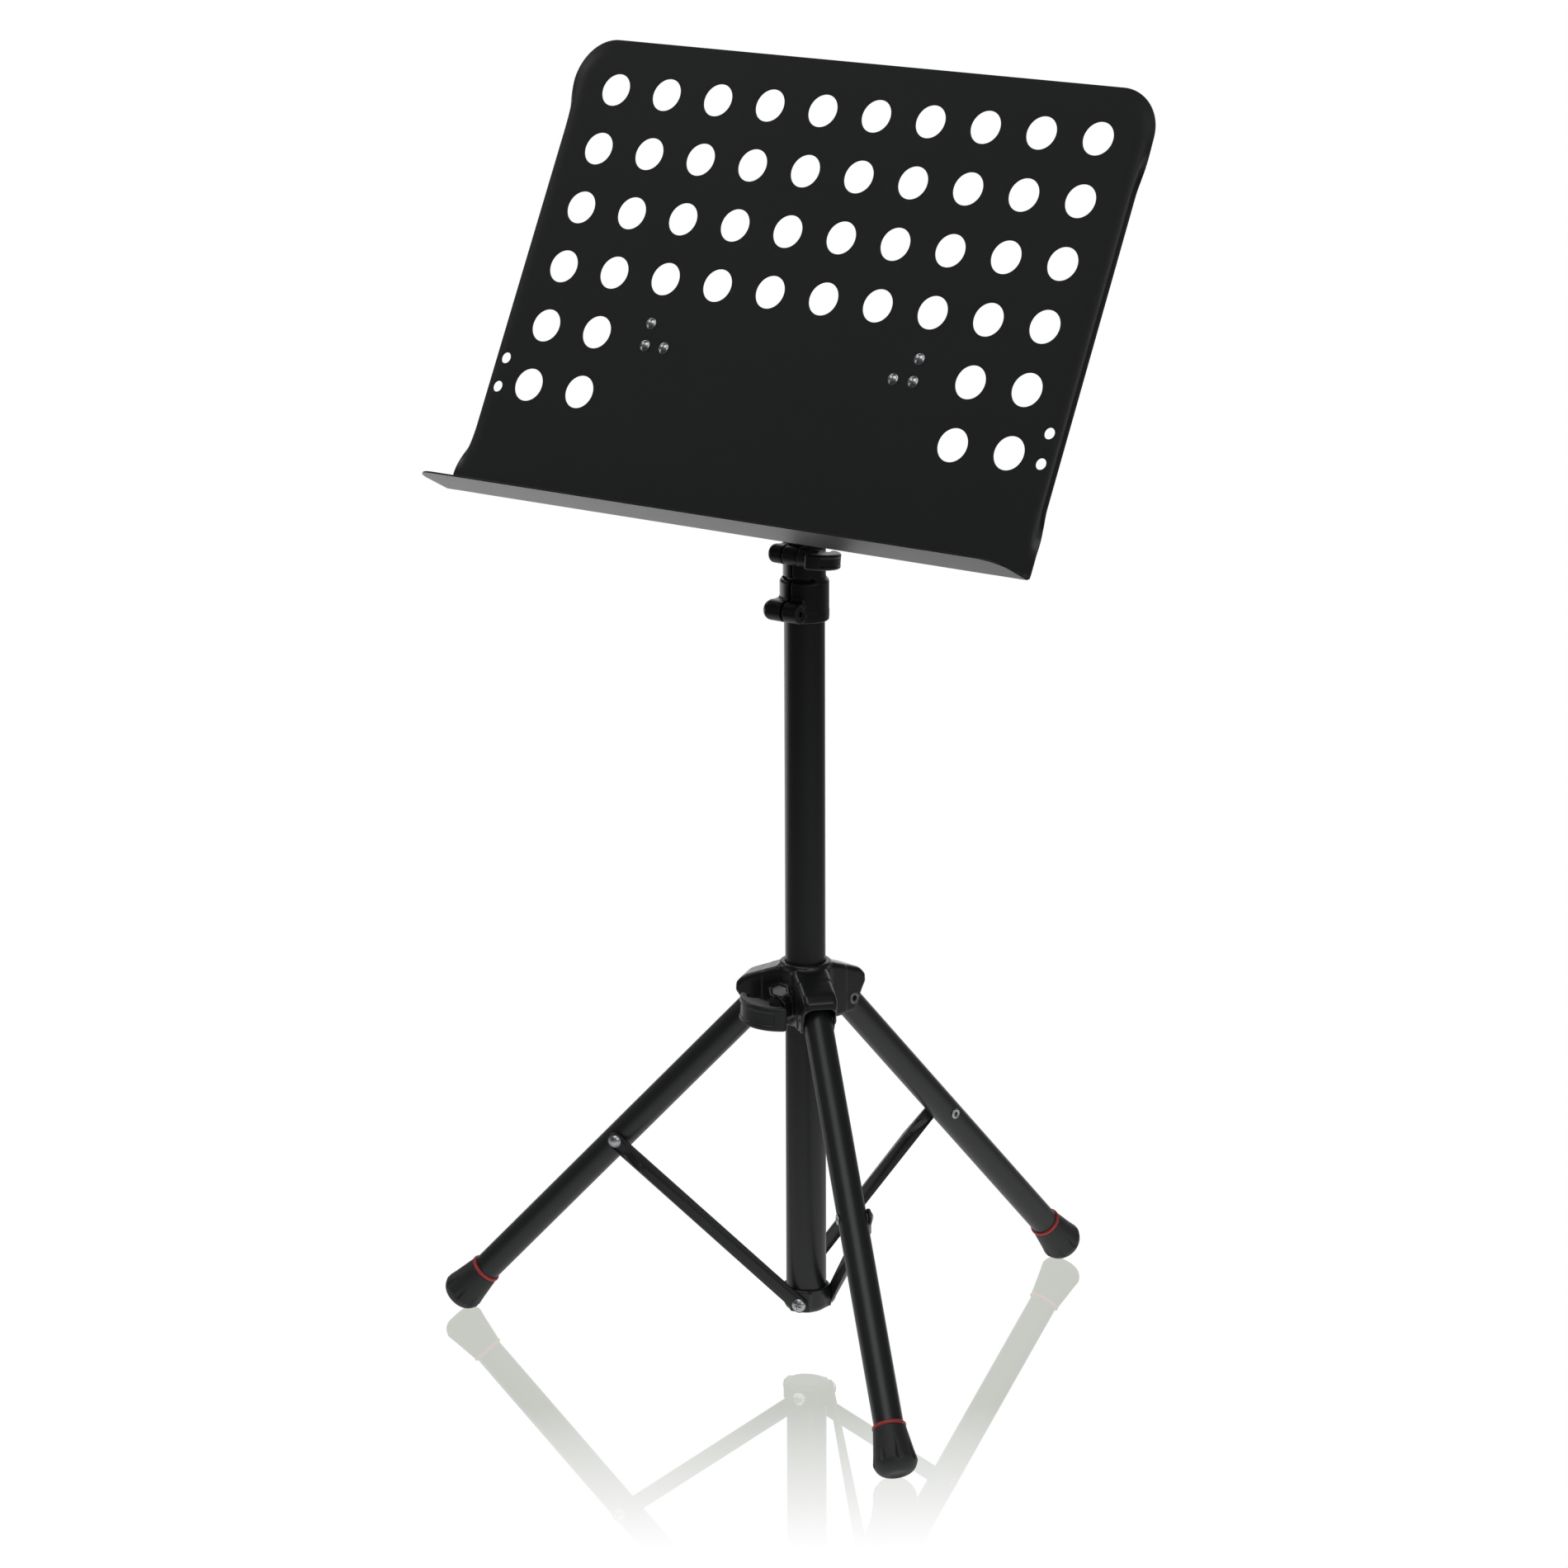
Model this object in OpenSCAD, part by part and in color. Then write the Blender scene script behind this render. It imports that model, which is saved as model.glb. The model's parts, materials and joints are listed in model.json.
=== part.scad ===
// Folding tripod music stand with a perforated sheet-steel desk.
// Z is up and z = 0 is the floor. The tube axis is the Z axis, and the desk faces -Y.
// Parts that tilt with the desk are drawn upright about the crossbar axis and then tilted.

/* [Column] */
// Outer diameter of the lower tube
tube_d = 28.6; // [25:0.1:32]
// Wall thickness of both tubes
tube_wall = 1.2; // [1:0.1:1.5]
// Height of the lower tube's bottom end
tube_bottom = 31; // [25:1:40]
// Height of the lower tube's top end
tube_top = 566; // [500:1:600]
// Outer diameter of the sliding upper tube
mast_d = 25.4; // [22:0.1:25.6]
// Height of the upper tube's bottom end when it is pushed right in
mast_bottom = 120; // [80:1:200]

/* [Tripod] */
// Direction of the first leg, measured from the front towards the right
leg_azimuth = 49.5; // [0:0.5:119]
// Distance of each leg's hinge from the tube axis
leg_pivot_r = 36; // [34:0.5:40]
// Height of the leg hinges when the tripod is open
leg_pivot_z = 256; // [240:1:280]
// Angle of an open leg from the vertical
leg_spread = 43; // [35:0.5:45]
// Diameter of a leg tube
leg_d = 20.5; // [18:0.5:21]
// Distance along the leg from its hinge to the strut's rivet
strut_at = 152.5; // [130:0.5:170]
// Height of the strut hinges on the base bracket
strut_pivot_z = 36; // [34:0.5:40]
// Width of a strut strap
strap_w = 11.5; // [9:0.5:13]
// Thickness of a strut strap
strap_t = 2; // [1.5:0.1:2.5]

/* [Feet] */
// Length of a rubber boot, from the coloured ring to its end
boot_len = 33; // [30:1:45]
// Diameter of a boot at its rounded end
boot_d = 30; // [26:0.5:31]
// Diameter of a boot beside the ring
boot_neck_d = 22.8; // [22.6:0.2:26]
// Radius round the end of a boot
boot_round = 9; // [5:0.5:11]
// Width of the coloured ring
ring_w = 2.8; // [2:0.2:5]
// Diameter of the coloured ring
ring_d = 23.6; // [23:0.2:26]

/* [Hub] */
// Height of the hub's top rim when the tripod is open
hub_top = 289.5; // [286:0.5:292]
// Height of the hub's lower edge when the tripod is open
hub_bottom = 244.5; // [242:0.5:247]
// Outer diameter of the hub's collar
hub_d = 36; // [34:0.5:40]
// Width of an arm where it joins the collar
arm_root_w = 26; // [25.5:0.5:28]
// Width of an arm's outer half
arm_w = 24.4; // [24:0.2:25]
// Height of the hub knob's axis
hub_knob_z = 259.5; // [258:0.5:264]

/* [Height clamp] */
// Height of the clamp's lower edge
clamp_bottom = 537; // [520:1:545]
// Height of the clamp's upper edge
clamp_top = 595; // [594:1:600]
// Diameter of the clamp round the lower tube
collar_d = 34.6; // [33:0.2:38]
// Diameter of the clamp round the upper tube
neck_d = 30; // [29:0.2:32]
// Height of the fixed screw through the lower ears
screw_z = 546; // [545:0.5:550]
// Height of the knob's axis through the upper ears
knob_z = 586.5; // [585:0.5:589]
// Distance of the ears' axis in front of the tube axis
ear_y = 21; // [20:0.5:23]
// Width of the slit down the front
slit_w = 2.2; // [1:0.1:3]

/* [Desk] */
// Height of the tilt axis
tilt_z = 710; // [700:1:730]
// Lean of the desk from the vertical
desk_lean = 27.7; // [15:0.1:60]
// Distance from the tilt axis to the middle of the sheet
desk_gap = 32.6; // [30:0.1:40]
// Thickness of the sheet
sheet_t = 1.2; // [1:0.1:1.5]
// Width of the desk over its bent sides
desk_w = 483; // [470:1:490]
// Width of the desk at the ledge
ledge_w = 500; // [492:1:510]
// Height of the sheet above the tilt axis
desk_up = 215; // [200:1:230]
// Depth of the sheet below the tilt axis, to the ledge's upper face
desk_down = 125; // [120:1:130]
// Depth of the ledge from the sheet's front face
ledge_depth = 44; // [35:1:50]
// Radius of the desk's top corners
corner_r = 30; // [20:1:40]
// Radius of the ledge's front corners
ledge_corner_r = 18; // [10:1:25]
// Depth of the bent sides from the front face
flange_depth = 8; // [7:0.5:16]
// Outer radius of the bends in the sides
flange_bend = 4; // [3:0.5:8]
// Spacing of the holes across the desk
hole_pitch_x = 45.3; // [44:0.1:46]
// Spacing of the hole rows
hole_pitch_z = 44.2; // [43:0.1:44.5]
// Diameter of the large holes
hole_d = 23.8; // [16:0.2:28]
// Diameter of the four small holes
clip_hole_d = 8; // [4:0.5:9]

/* [Hidden] */
$fn = 96;
fit = 0.05;             // radial running clearance of a shaft in its bore
eps = 1;                // how far a cutting shape runs past what it cuts

tube_r = tube_d / 2;
tube_bore_r = tube_r - tube_wall;
mast_r = mast_d / 2;
mast_bore_r = mast_r - tube_wall;

// Tripod linkage in one leg's own plane: x is the distance from the tube axis, z is up.
leg_r = leg_d / 2;
rivet_x = leg_pivot_r + strut_at * sin(leg_spread);
rivet_z = leg_pivot_z - strut_at * cos(leg_spread);
strut_len = norm([rivet_x, rivet_z - strut_pivot_z]);
strut_lean = atan2(rivet_x, rivet_z - strut_pivot_z);
// The boot's rounded rim touches the floor when the leg is open.
boot_flat_r = boot_d / 2 - boot_round;
boot_end = (leg_pivot_z - boot_flat_r * sin(leg_spread) - boot_round) / cos(leg_spread) + boot_round;
boot_start = boot_end - boot_len;
leg_top = -9;           // a leg tube's upper end, measured along the leg from its hinge
leg_end = boot_end - 8; // its lower end, inside the boot
hinge_r = 3;            // radius of the hub's hollow rivets
strap_in = leg_r + 0.45; // inner face of a strap where it lies beside the leg
strap_out = 16.8;       // inner face of a strap at the base bracket
joggle_near = 14;       // the joggle's ends, measured along the strap from the leg's rivet
joggle_far = 26;
shank_r = 2.5;          // radius of the strut rivets and base screws
screw_head_r = 5;
screw_head_h = 3;

// Base bracket
bracket_d = 32;
bracket_bottom = 28;
bracket_top = 45.8;
pad_face = strap_out - 0.2;

// Hub
hub_r = hub_d / 2;
arm_bottom = hub_bottom + 0.5;
slot_w = 21.4;          // gap between an arm's two cheeks
arm_step = 28.5;        // distance from the axis where the arm gets narrower
hex_af = 17;            // the hexagonal boss round the knob's nut, across its flats
hex_end = 28;
hub_stud_r = 4;
hub_nut_af = 12.8;      // each nut sits in a pocket that is wider by nut_play
hub_nut_h = 6.5;
small_nut_af = 9.8;
small_nut_h = 5;
nut_play = 0.2;
knob_gap = 0.4;         // between a knob and the boss that it tightens against

// Height clamp
lower_ear_r = 7.3;
upper_ear_r = 6.7;
ear_right = 12.6;
lower_ear_left = -17.4;
upper_ear_left = -13.4;
clamp_stud_r = 3;
clamp_screw_r = 2.5;
socket_r = 4.2;         // recess for the fixed screw's head
socket_depth = 4.2;
socket_drive = 4;       // hexagonal drive, across its flats
clamp_nut_af = 7.9;
clamp_nut_h = 3.5;
lower_nut_in = 3;       // how deep the nuts sit in the left ends of the ears
upper_nut_in = 2.4;
relief_gap = 0.4;       // from the lower tube's end up to the relief slot
relief_wall = 6.6;      // the slot stops this far in front of the tube axis
knob_turn = -6;         // the height knob's angle about its own axis
hub_knob_turn = -3;     // the hub knob's angle about its own axis
stud_setback = 0.6;     // from the upper ear's left face to the stud's end
knob_stud_in = 20;      // how deep the height knob's stud goes into it

// Knobs: radius of the wing's rim, then heights above the foot of the stem.
small_rim_r = 18;
small_wing_t = 11;
small_stem_r = 6.6;
height_rim_z = 11.5;      // centre of the height knob's rim
height_wing_z = 13;     // its wing starts here
tilt_rim_z = 6;
tilt_wing_z = 9;
tilt_stud_in = 15;
hub_rim_r = 27;
hub_rim_z = -1.6;
hub_wing_z = 12.6;
hub_wing_t = 17.5;
scoop_share = 0.36;     // radius of the scoops beside a knob's stem, as a share of its overhang
hub_stem_r = 7.5;
hub_stud_in = 18;

// Bush under the upper tube
bush_rim_h = 14;
bush_spigot_h = 16;
bush_bore_r = 8;

// Tilt head
head_r = 15;
head_len = 52;
head_sleeve_r = 15.8;
head_sleeve_bottom = 655;
mast_top = 690;
tilt_boss_af = 19;      // hexagonal boss behind the crossbar, across its flats
tilt_boss_end = 24;
head_rivet_z = 670;
bar_r = 8;
bar_wall = 2;
bar_len = 183;

// Desk, upright about the tilt axis: its front faces -Y and z runs up the sheet.
sheet_front = -desk_gap - sheet_t / 2;
sheet_back = sheet_front + sheet_t;
flange_low = -88;       // lower and upper ends of the bent sides
flange_high = desk_up - corner_r - 2;
flare_z = -104;         // below this the sheet has its full width
ledge_bend = 2;         // inner radius of the bend above the ledge
hole_cols = 10;
hole_rows = 6;
full_rows = 4;          // rows that run the whole width
end_cols = 2;           // holes at each end of the other rows
first_row_z = 178;
clip_hole_x = 230.5;
clip_hole_z = [-26, -47.2];
rivets_at = [[113.8, 12.2], [113.8, -4], [97.4, -4]];
desk_rivet_r = 2;
foot_t = 2;             // thickness of the desk brackets
web_r = 12.5;           // radius of their webs round the crossbar
foot_in = 87;
foot_out = 123;
foot_low = -13;
foot_high = 21;

black_metal = [0.10, 0.11, 0.11];
black_plastic = [0.06, 0.06, 0.065];
rubber_black = [0.05, 0.05, 0.05];
zinc = [0.62, 0.63, 0.65];
black_steel = [0.16, 0.16, 0.17];
ring_red = [0.65, 0.12, 0.10];

// ---- frames ----

// Turn to leg k: local X points out along the leg, local Y is the direction round the tube.
module at_leg(k) {
    rotate([0, 0, leg_azimuth + 120 * k - 90]) children();
}

// Along leg k: local Z runs from the hub hinge down to the foot, local Y lies along the hinge axis.
module along_leg(k) {
    at_leg(k) translate([leg_pivot_r, 0, leg_pivot_z]) rotate([0, 180 - leg_spread, 0]) children();
}

// Along strut k: local Z runs from the base hinge up to the leg's rivet.
module along_strut(k) {
    at_leg(k) translate([0, 0, strut_pivot_z]) rotate([0, strut_lean, 0]) children();
}

// Tilt with the desk about the crossbar.
module on_desk() {
    translate([0, 0, tilt_z]) rotate([-desk_lean, 0, 0]) children();
}

// Lay a shape that stands along Z down along +X, along +Y or along -Y.
module to_x() { rotate([0, 90, 0]) children(); }
module to_y() { rotate([-90, 0, 0]) children(); }
module to_front() { rotate([90, 0, 0]) children(); }

// Between the third and the first leg, where the hub knob is: local Z points out.
module at_hub_knob() {
    at_leg(2.5) translate([0, 0, hub_knob_z]) to_x() children();
}

// ---- shared shapes ----

module pipe(r, bore, h) {
    difference() {
        cylinder(r = r, h = h);
        translate([0, 0, -eps]) cylinder(r = bore, h = h + 2 * eps);
    }
}

module hex(af, h) {
    cylinder(r = af / sqrt(3), h = h, $fn = 6);
}

module hex_nut(af, h, bore) {
    difference() {
        hex(af, h);
        translate([0, 0, -eps]) cylinder(r = bore, h = h + 2 * eps);
    }
}

// A domed rivet head on z = 0.
module dome(r, h) {
    ball = (r * r + h * h) / (2 * h);
    rotate_extrude() intersection() {
        translate([0, h - ball]) circle(ball);
        square([r, h]);
    }
}

// A bolt head with a rounded rim on z = 0 and a cross-shaped drive.
module pan_head(r, h) {
    difference() {
        rotate_extrude() union() {
            square([r, h / 2]);
            square([r - h / 2, h]);
            translate([r - h / 2, h / 2]) intersection() {
                circle(h / 2);
                square([h / 2, h / 2]);
            }
        }
        for (a = [0, 90]) rotate([0, 0, a]) translate([-2.4, -0.5, h - 1.4]) cube([4.8, 1, 1.4 + eps]);
    }
}

// Half-moon knob: its stem stands on z = 0 and its wing lies in the XZ plane.
// The wing's rim is an arc of radius rim_r about z = rim_z, and the wing starts at wing_z.
module half_moon(rim_r, rim_z, wing_z, wing_t, stem_r, bore_r, bore_len) {
    half_chord = sqrt(rim_r * rim_r - (wing_z - rim_z) * (wing_z - rim_z));
    scoop_r = scoop_share * (half_chord - stem_r);
    difference() {
        union() {
            cylinder(r = stem_r, h = wing_z + scoop_r);
            translate([0, wing_t / 2, 0]) rotate([90, 0, 0]) linear_extrude(wing_t) difference() {
                intersection() {
                    translate([0, rim_z]) circle(rim_r);
                    translate([-rim_r, wing_z]) square([2 * rim_r, 2 * rim_r]);
                }
                for (s = [-1, 1]) translate([s * (stem_r + scoop_r), wing_z]) circle(scoop_r);
            }
        }
        translate([0, 0, -eps]) cylinder(r = bore_r, h = bore_len + eps);
    }
}

// ---- column ----

module outer_tube() {
    color(black_metal) translate([0, 0, tube_bottom]) pipe(tube_r, tube_bore_r, tube_top - tube_bottom);
}

module base_bracket() {
    color(black_metal) difference() {
        union() {
            translate([0, 0, bracket_bottom]) rotate_extrude() bracket_profile();
            for (k = [0:2]) at_leg(k) strut_pad();
        }
        translate([0, 0, tube_bottom]) cylinder(r = tube_r, h = bracket_top);
        for (k = [0:2]) at_leg(k) translate([0, 0, strut_pivot_z]) to_y()
            translate([0, 0, tube_r]) cylinder(r = shank_r, h = pad_face);
    }
}

// Half section of the bracket with a rounded lower rim.
module bracket_profile() {
    rim = 6;
    union() {
        square([bracket_d / 2 - rim, bracket_top - bracket_bottom]);
        translate([0, rim]) square([bracket_d / 2, bracket_top - bracket_bottom - rim]);
        translate([bracket_d / 2 - rim, rim]) circle(rim);
    }
}

// Flat seat for one strap.
module strut_pad() {
    translate([-7.5, tube_r - 4, bracket_bottom + 2])
        cube([15, pad_face - tube_r + 4, bracket_top - bracket_bottom - 3]);
}

module base_screws() {
    color(zinc) for (k = [0:2]) at_leg(k) translate([0, 0, strut_pivot_z]) to_y() {
        translate([0, 0, strap_out + strap_t + 0.1]) pan_head(screw_head_r, screw_head_h);
        translate([0, 0, tube_r + 0.3]) cylinder(r = shank_r, h = strap_out + strap_t + 0.2 - tube_r);
    }
}

// ---- height clamp ----

module height_clamp() {
    color(black_plastic) difference() {
        union() {
            translate([0, 0, clamp_bottom]) rotate_extrude() clamp_profile();
            ear(screw_z, lower_ear_r, lower_ear_left);
            ear(knob_z, upper_ear_r, upper_ear_left);
        }
        translate([0, 0, clamp_bottom - eps]) cylinder(r = tube_r, h = tube_top - clamp_bottom + eps);
        translate([0, 0, clamp_bottom]) cylinder(r = mast_r + fit, h = clamp_top - clamp_bottom + eps);
        translate([-slit_w / 2, -2 * ear_y, clamp_bottom - eps])
            cube([slit_w, 2 * ear_y - 8, clamp_top - clamp_bottom + 2 * eps]);
        translate([-neck_d, -2 * ear_y, tube_top + relief_gap])
            cube([2 * neck_d, 2 * ear_y - relief_wall, slit_w]);
        translate([lower_ear_left - eps, -ear_y, screw_z]) to_x()
            cylinder(r = clamp_screw_r, h = ear_right - lower_ear_left + 2 * eps);
        translate([ear_right - socket_depth, -ear_y, screw_z]) to_x()
            cylinder(r = socket_r, h = socket_depth + eps);
        translate([lower_ear_left - eps, -ear_y, screw_z]) to_x()
            hex(clamp_nut_af + nut_play, lower_nut_in + clamp_nut_h + 0.1 + eps);
        translate([upper_ear_left - eps, -ear_y, knob_z]) to_x()
            cylinder(r = clamp_stud_r + fit, h = ear_right - upper_ear_left + 2 * eps);
        translate([upper_ear_left - eps, -ear_y, knob_z]) to_x()
            hex(small_nut_af + nut_play, upper_nut_in + small_nut_h + eps);
    }
}

// Half section: the collar, a rounded shoulder and the neck.
module clamp_profile() {
    shoulder = 5;
    collar_h = tube_top - clamp_bottom + 1;
    union() {
        square([collar_d / 2, collar_h - shoulder]);
        square([collar_d / 2 - shoulder, collar_h]);
        translate([collar_d / 2 - shoulder, collar_h - shoulder]) circle(shoulder);
        square([neck_d / 2, clamp_top - clamp_bottom]);
    }
}

// Both ears of a pair as one barrel, joined to the clamp by a web. The slit parts them later.
module ear(z, r, left) {
    translate([left, -ear_y, z]) to_x() cylinder(r = r, h = ear_right - left);
    translate([left + 3, -ear_y, z - r]) cube([ear_right - left - 6, ear_y - 10, 2 * r]);
}

module clamp_screw() {
    head_h = socket_depth - 0.4;
    color(black_steel) difference() {
        union() {
            translate([ear_right - socket_depth + 0.2, -ear_y, screw_z]) to_x()
                cylinder(r = socket_r - 0.1, h = head_h);
            translate([lower_ear_left + 0.2, -ear_y, screw_z]) to_x()
                cylinder(r = clamp_screw_r, h = ear_right - lower_ear_left - head_h);
        }
        translate([ear_right - head_h + eps, -ear_y, screw_z]) to_x() hex(socket_drive, head_h);
    }
}

module clamp_nut() {
    color(zinc) translate([lower_ear_left + lower_nut_in, -ear_y, screw_z]) to_x()
        hex_nut(clamp_nut_af, clamp_nut_h, clamp_screw_r);
}

module height_nut() {
    color(zinc) translate([upper_ear_left + upper_nut_in, -ear_y, knob_z]) to_x()
        hex_nut(small_nut_af, small_nut_h - 0.1, clamp_stud_r + fit);
}

module height_knob() {
    color(black_plastic) translate([ear_right + knob_gap, -ear_y, knob_z]) rotate([knob_turn, 0, 0]) to_x()
        rotate([0, 0, 90]) half_moon(small_rim_r, height_rim_z, height_wing_z, small_wing_t,
            small_stem_r, clamp_stud_r, knob_stud_in);
}

module height_stud() {
    color(zinc) translate([upper_ear_left + stud_setback, -ear_y, knob_z]) to_x()
        cylinder(r = clamp_stud_r, h = ear_right + knob_stud_in - upper_ear_left - stud_setback);
}

// ---- hub ----

module hub_body() {
    color(black_plastic) difference() {
        union() {
            translate([0, 0, hub_bottom]) rotate_extrude() hub_profile();
            for (k = [0:2]) at_leg(k) hub_arm();
            at_hub_knob() hex(hex_af, hex_end);
        }
        translate([0, 0, hub_bottom - eps]) cylinder(r = tube_r + fit, h = hub_top - hub_bottom + 2 * eps);
        for (k = [0:2]) at_leg(k) leg_slot();
        for (k = [0:2]) at_leg(k) translate([leg_pivot_r, -arm_root_w, leg_pivot_z]) to_y()
            cylinder(r = hinge_r, h = 2 * arm_root_w);
        at_hub_knob() cylinder(r = hub_stud_r + fit, h = hex_end + eps);
        at_hub_knob() translate([0, 0, hex_end - hub_nut_h]) hex(hub_nut_af + nut_play, hub_nut_h + eps);
    }
}

// Half section of the collar with a bead round its top rim.
module hub_profile() {
    bead = 2;
    h = hub_top - hub_bottom;
    union() {
        square([hub_r, h - 3]);
        square([hub_r - bead + 0.6, h]);
        translate([hub_r - bead + 0.6, h - bead]) circle(bead);
    }
}

// Side view of an arm from the tube axis outwards.
module arm_outline() {
    polygon([
        [0, arm_bottom], [37, arm_bottom], [39.5, arm_bottom + 2], [44.5, 258], [48.8, 266], [48.2, 270.5],
        [43, 275.5], [34, 280], [18, 286], [0, 286]
    ]);
}

// Side view of the hollow under the arm's roof, where the leg swings.
module slot_outline() {
    polygon([
        [21.5, hub_bottom - eps], [21.5, 280.6], [33, 276.6], [41.3, 272.4], [45.5, 268.5], [60, 262],
        [60, hub_bottom - eps]
    ]);
}

// A side view made solid, w wide.
module standing(w) {
    translate([0, w / 2, 0]) rotate([90, 0, 0]) linear_extrude(w) children();
}

module hub_arm() {
    standing(arm_w) arm_outline();
    standing(arm_root_w) intersection() {
        arm_outline();
        translate([0, hub_bottom]) square([arm_step, hub_top - hub_bottom]);
    }
}

module leg_slot() {
    standing(slot_w) slot_outline();
}

// The three hollow rivets that the legs turn on.
module hub_rivets() {
    color(zinc) for (k = [0:2]) at_leg(k) translate([leg_pivot_r, 0, leg_pivot_z]) to_y() hollow_rivet();
}

module hollow_rivet() {
    difference() {
        union() {
            translate([0, 0, -arm_w / 2]) cylinder(r = hinge_r, h = arm_w);
            translate([0, 0, arm_w / 2]) cylinder(r = 4.4, h = 0.8);
            translate([0, 0, -arm_w / 2 - 0.8]) cylinder(r = 4.4, h = 0.8);
        }
        translate([0, 0, -arm_w]) cylinder(r = 2, h = 2 * arm_w);
    }
}

module hub_nut() {
    color(zinc) at_hub_knob() translate([0, 0, hex_end - hub_nut_h])
        hex_nut(hub_nut_af, hub_nut_h, hub_stud_r + fit);
}

module hub_knob() {
    color(black_plastic) at_hub_knob() translate([0, 0, hex_end + knob_gap])
        rotate([0, 0, 90 + hub_knob_turn])
            half_moon(hub_rim_r, hub_rim_z, hub_wing_z, hub_wing_t, hub_stem_r, hub_stud_r, hub_stud_in);
}

module hub_stud() {
    color(zinc) at_hub_knob() translate([0, 0, tube_r + 0.3])
        cylinder(r = hub_stud_r, h = hex_end + hub_stud_in - tube_r);
}

// ---- legs ----

module leg_tube(k) {
    color(black_metal) along_leg(k) difference() {
        translate([0, 0, leg_top]) pipe(leg_r, leg_r - tube_wall, leg_end - leg_top);
        translate([0, -leg_d, 0]) to_y() cylinder(r = hinge_r + fit, h = 2 * leg_d);
        translate([0, -leg_d, strut_at]) to_y() cylinder(r = shank_r, h = 2 * leg_d);
    }
}

module leg_boot(k) {
    color(rubber_black) along_leg(k) difference() {
        rotate_extrude() boot_profile();
        translate([0, 0, boot_start - eps]) cylinder(r = leg_r, h = leg_end - boot_start + eps);
    }
}

// Half section of a boot: it flares towards a rounded end.
module boot_profile() {
    flare_end = boot_end - boot_round;
    union() {
        polygon([
            [0, boot_start], [boot_neck_d / 2, boot_start], [boot_d / 2, flare_end], [0, flare_end]
        ]);
        translate([0, flare_end]) square([boot_flat_r, boot_round]);
        intersection() {
            translate([boot_flat_r, flare_end]) circle(boot_round);
            translate([boot_flat_r, flare_end]) square(boot_round);
        }
    }
}

module leg_ring(k) {
    color(ring_red) along_leg(k) translate([0, 0, boot_start - ring_w]) pipe(ring_d / 2, leg_r, ring_w);
}

// Far end of the rivet through the leg. The strap's side of it is rivet_head.
module rivet_tail(k) {
    color(zinc) along_leg(k) translate([0, -leg_r, strut_at]) to_front() difference() {
        union() {
            translate([0, 0, -tube_wall]) cylinder(r = shank_r, h = tube_wall + 0.4);
            translate([0, 0, 0.05]) cylinder(r = 3.8, h = 0.9);
        }
        translate([0, 0, -tube_wall - eps]) cylinder(r = 1.5, h = 5);
    }
}

// ---- struts ----

module strut(k) {
    color(black_metal) along_strut(k) difference() {
        intersection() {
            translate([-strap_w / 2 - eps, 0, 0]) rotate([90, 0, 90]) linear_extrude(strap_w + 2 * eps)
                strap_section();
            union() {
                translate([-strap_w / 2, 0, 0]) cube([strap_w, 2 * strap_out, strut_len]);
                for (z = [0, strut_len]) translate([0, 0, z]) to_y()
                    cylinder(r = strap_w / 2 + 0.6, h = 2 * strap_out);
            }
        }
        for (z = [0, strut_len]) translate([0, 0, z]) to_y()
            cylinder(r = shank_r + fit, h = 2 * strap_out);
    }
}

// Edge view of a strap: it steps in from the bracket's pad to the side of the leg.
module strap_section() {
    far = strut_len - joggle_far;
    near = strut_len - joggle_near;
    tip = strut_len + strap_w;
    polygon([
        [strap_out, -strap_w], [strap_out, far], [strap_in, near], [strap_in, tip],
        [strap_in + strap_t, tip], [strap_in + strap_t, near + 1], [strap_out + strap_t, far + 1],
        [strap_out + strap_t, -strap_w]
    ]);
}

module rivet_head(k) {
    color(zinc) along_strut(k) translate([0, 0, strut_len]) to_y() {
        translate([0, 0, strap_in + strap_t]) dome(5, 2.2);
        translate([0, 0, strap_in]) cylinder(r = shank_r, h = strap_t + 0.1);
    }
}

// ---- mast ----

// Plug under the upper tube: its rim slides in the lower tube and the upper tube turns on its spigot.
module guide_bush() {
    color(black_plastic) translate([0, 0, mast_bottom]) difference() {
        union() {
            translate([0, 0, -bush_rim_h]) cylinder(r = tube_bore_r - fit, h = bush_rim_h);
            cylinder(r = mast_bore_r - fit, h = bush_spigot_h);
        }
        translate([0, 0, -bush_rim_h - eps])
            cylinder(r = bush_bore_r, h = bush_rim_h + bush_spigot_h + 2 * eps);
    }
}

module inner_tube() {
    color(black_metal) translate([0, 0, mast_bottom + 0.1])
        pipe(mast_r, mast_bore_r, mast_top - mast_bottom - 0.1);
}

module tilt_head() {
    color(black_plastic) difference() {
        union() {
            translate([0, 0, head_sleeve_bottom])
                cylinder(r = head_sleeve_r, h = tilt_z - head_sleeve_bottom);
            translate([-head_len / 2, 0, tilt_z]) to_x() cylinder(r = head_r, h = head_len);
            translate([0, 0, tilt_z]) to_y() hex(tilt_boss_af, tilt_boss_end);
        }
        translate([0, 0, head_sleeve_bottom - eps])
            cylinder(r = mast_r, h = mast_top - head_sleeve_bottom + eps);
        translate([-head_len, 0, tilt_z]) to_x() cylinder(r = bar_r + fit, h = 2 * head_len);
        translate([0, 0, tilt_z]) to_y() cylinder(r = clamp_stud_r + fit, h = tilt_boss_end + eps);
        translate([0, tilt_boss_end - small_nut_h, tilt_z]) to_y()
            hex(small_nut_af + nut_play, small_nut_h + eps);
        translate([0, -head_sleeve_r - eps, head_rivet_z]) to_y()
            cylinder(r = shank_r, h = 2 * head_sleeve_r + 2 * eps);
    }
}

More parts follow.
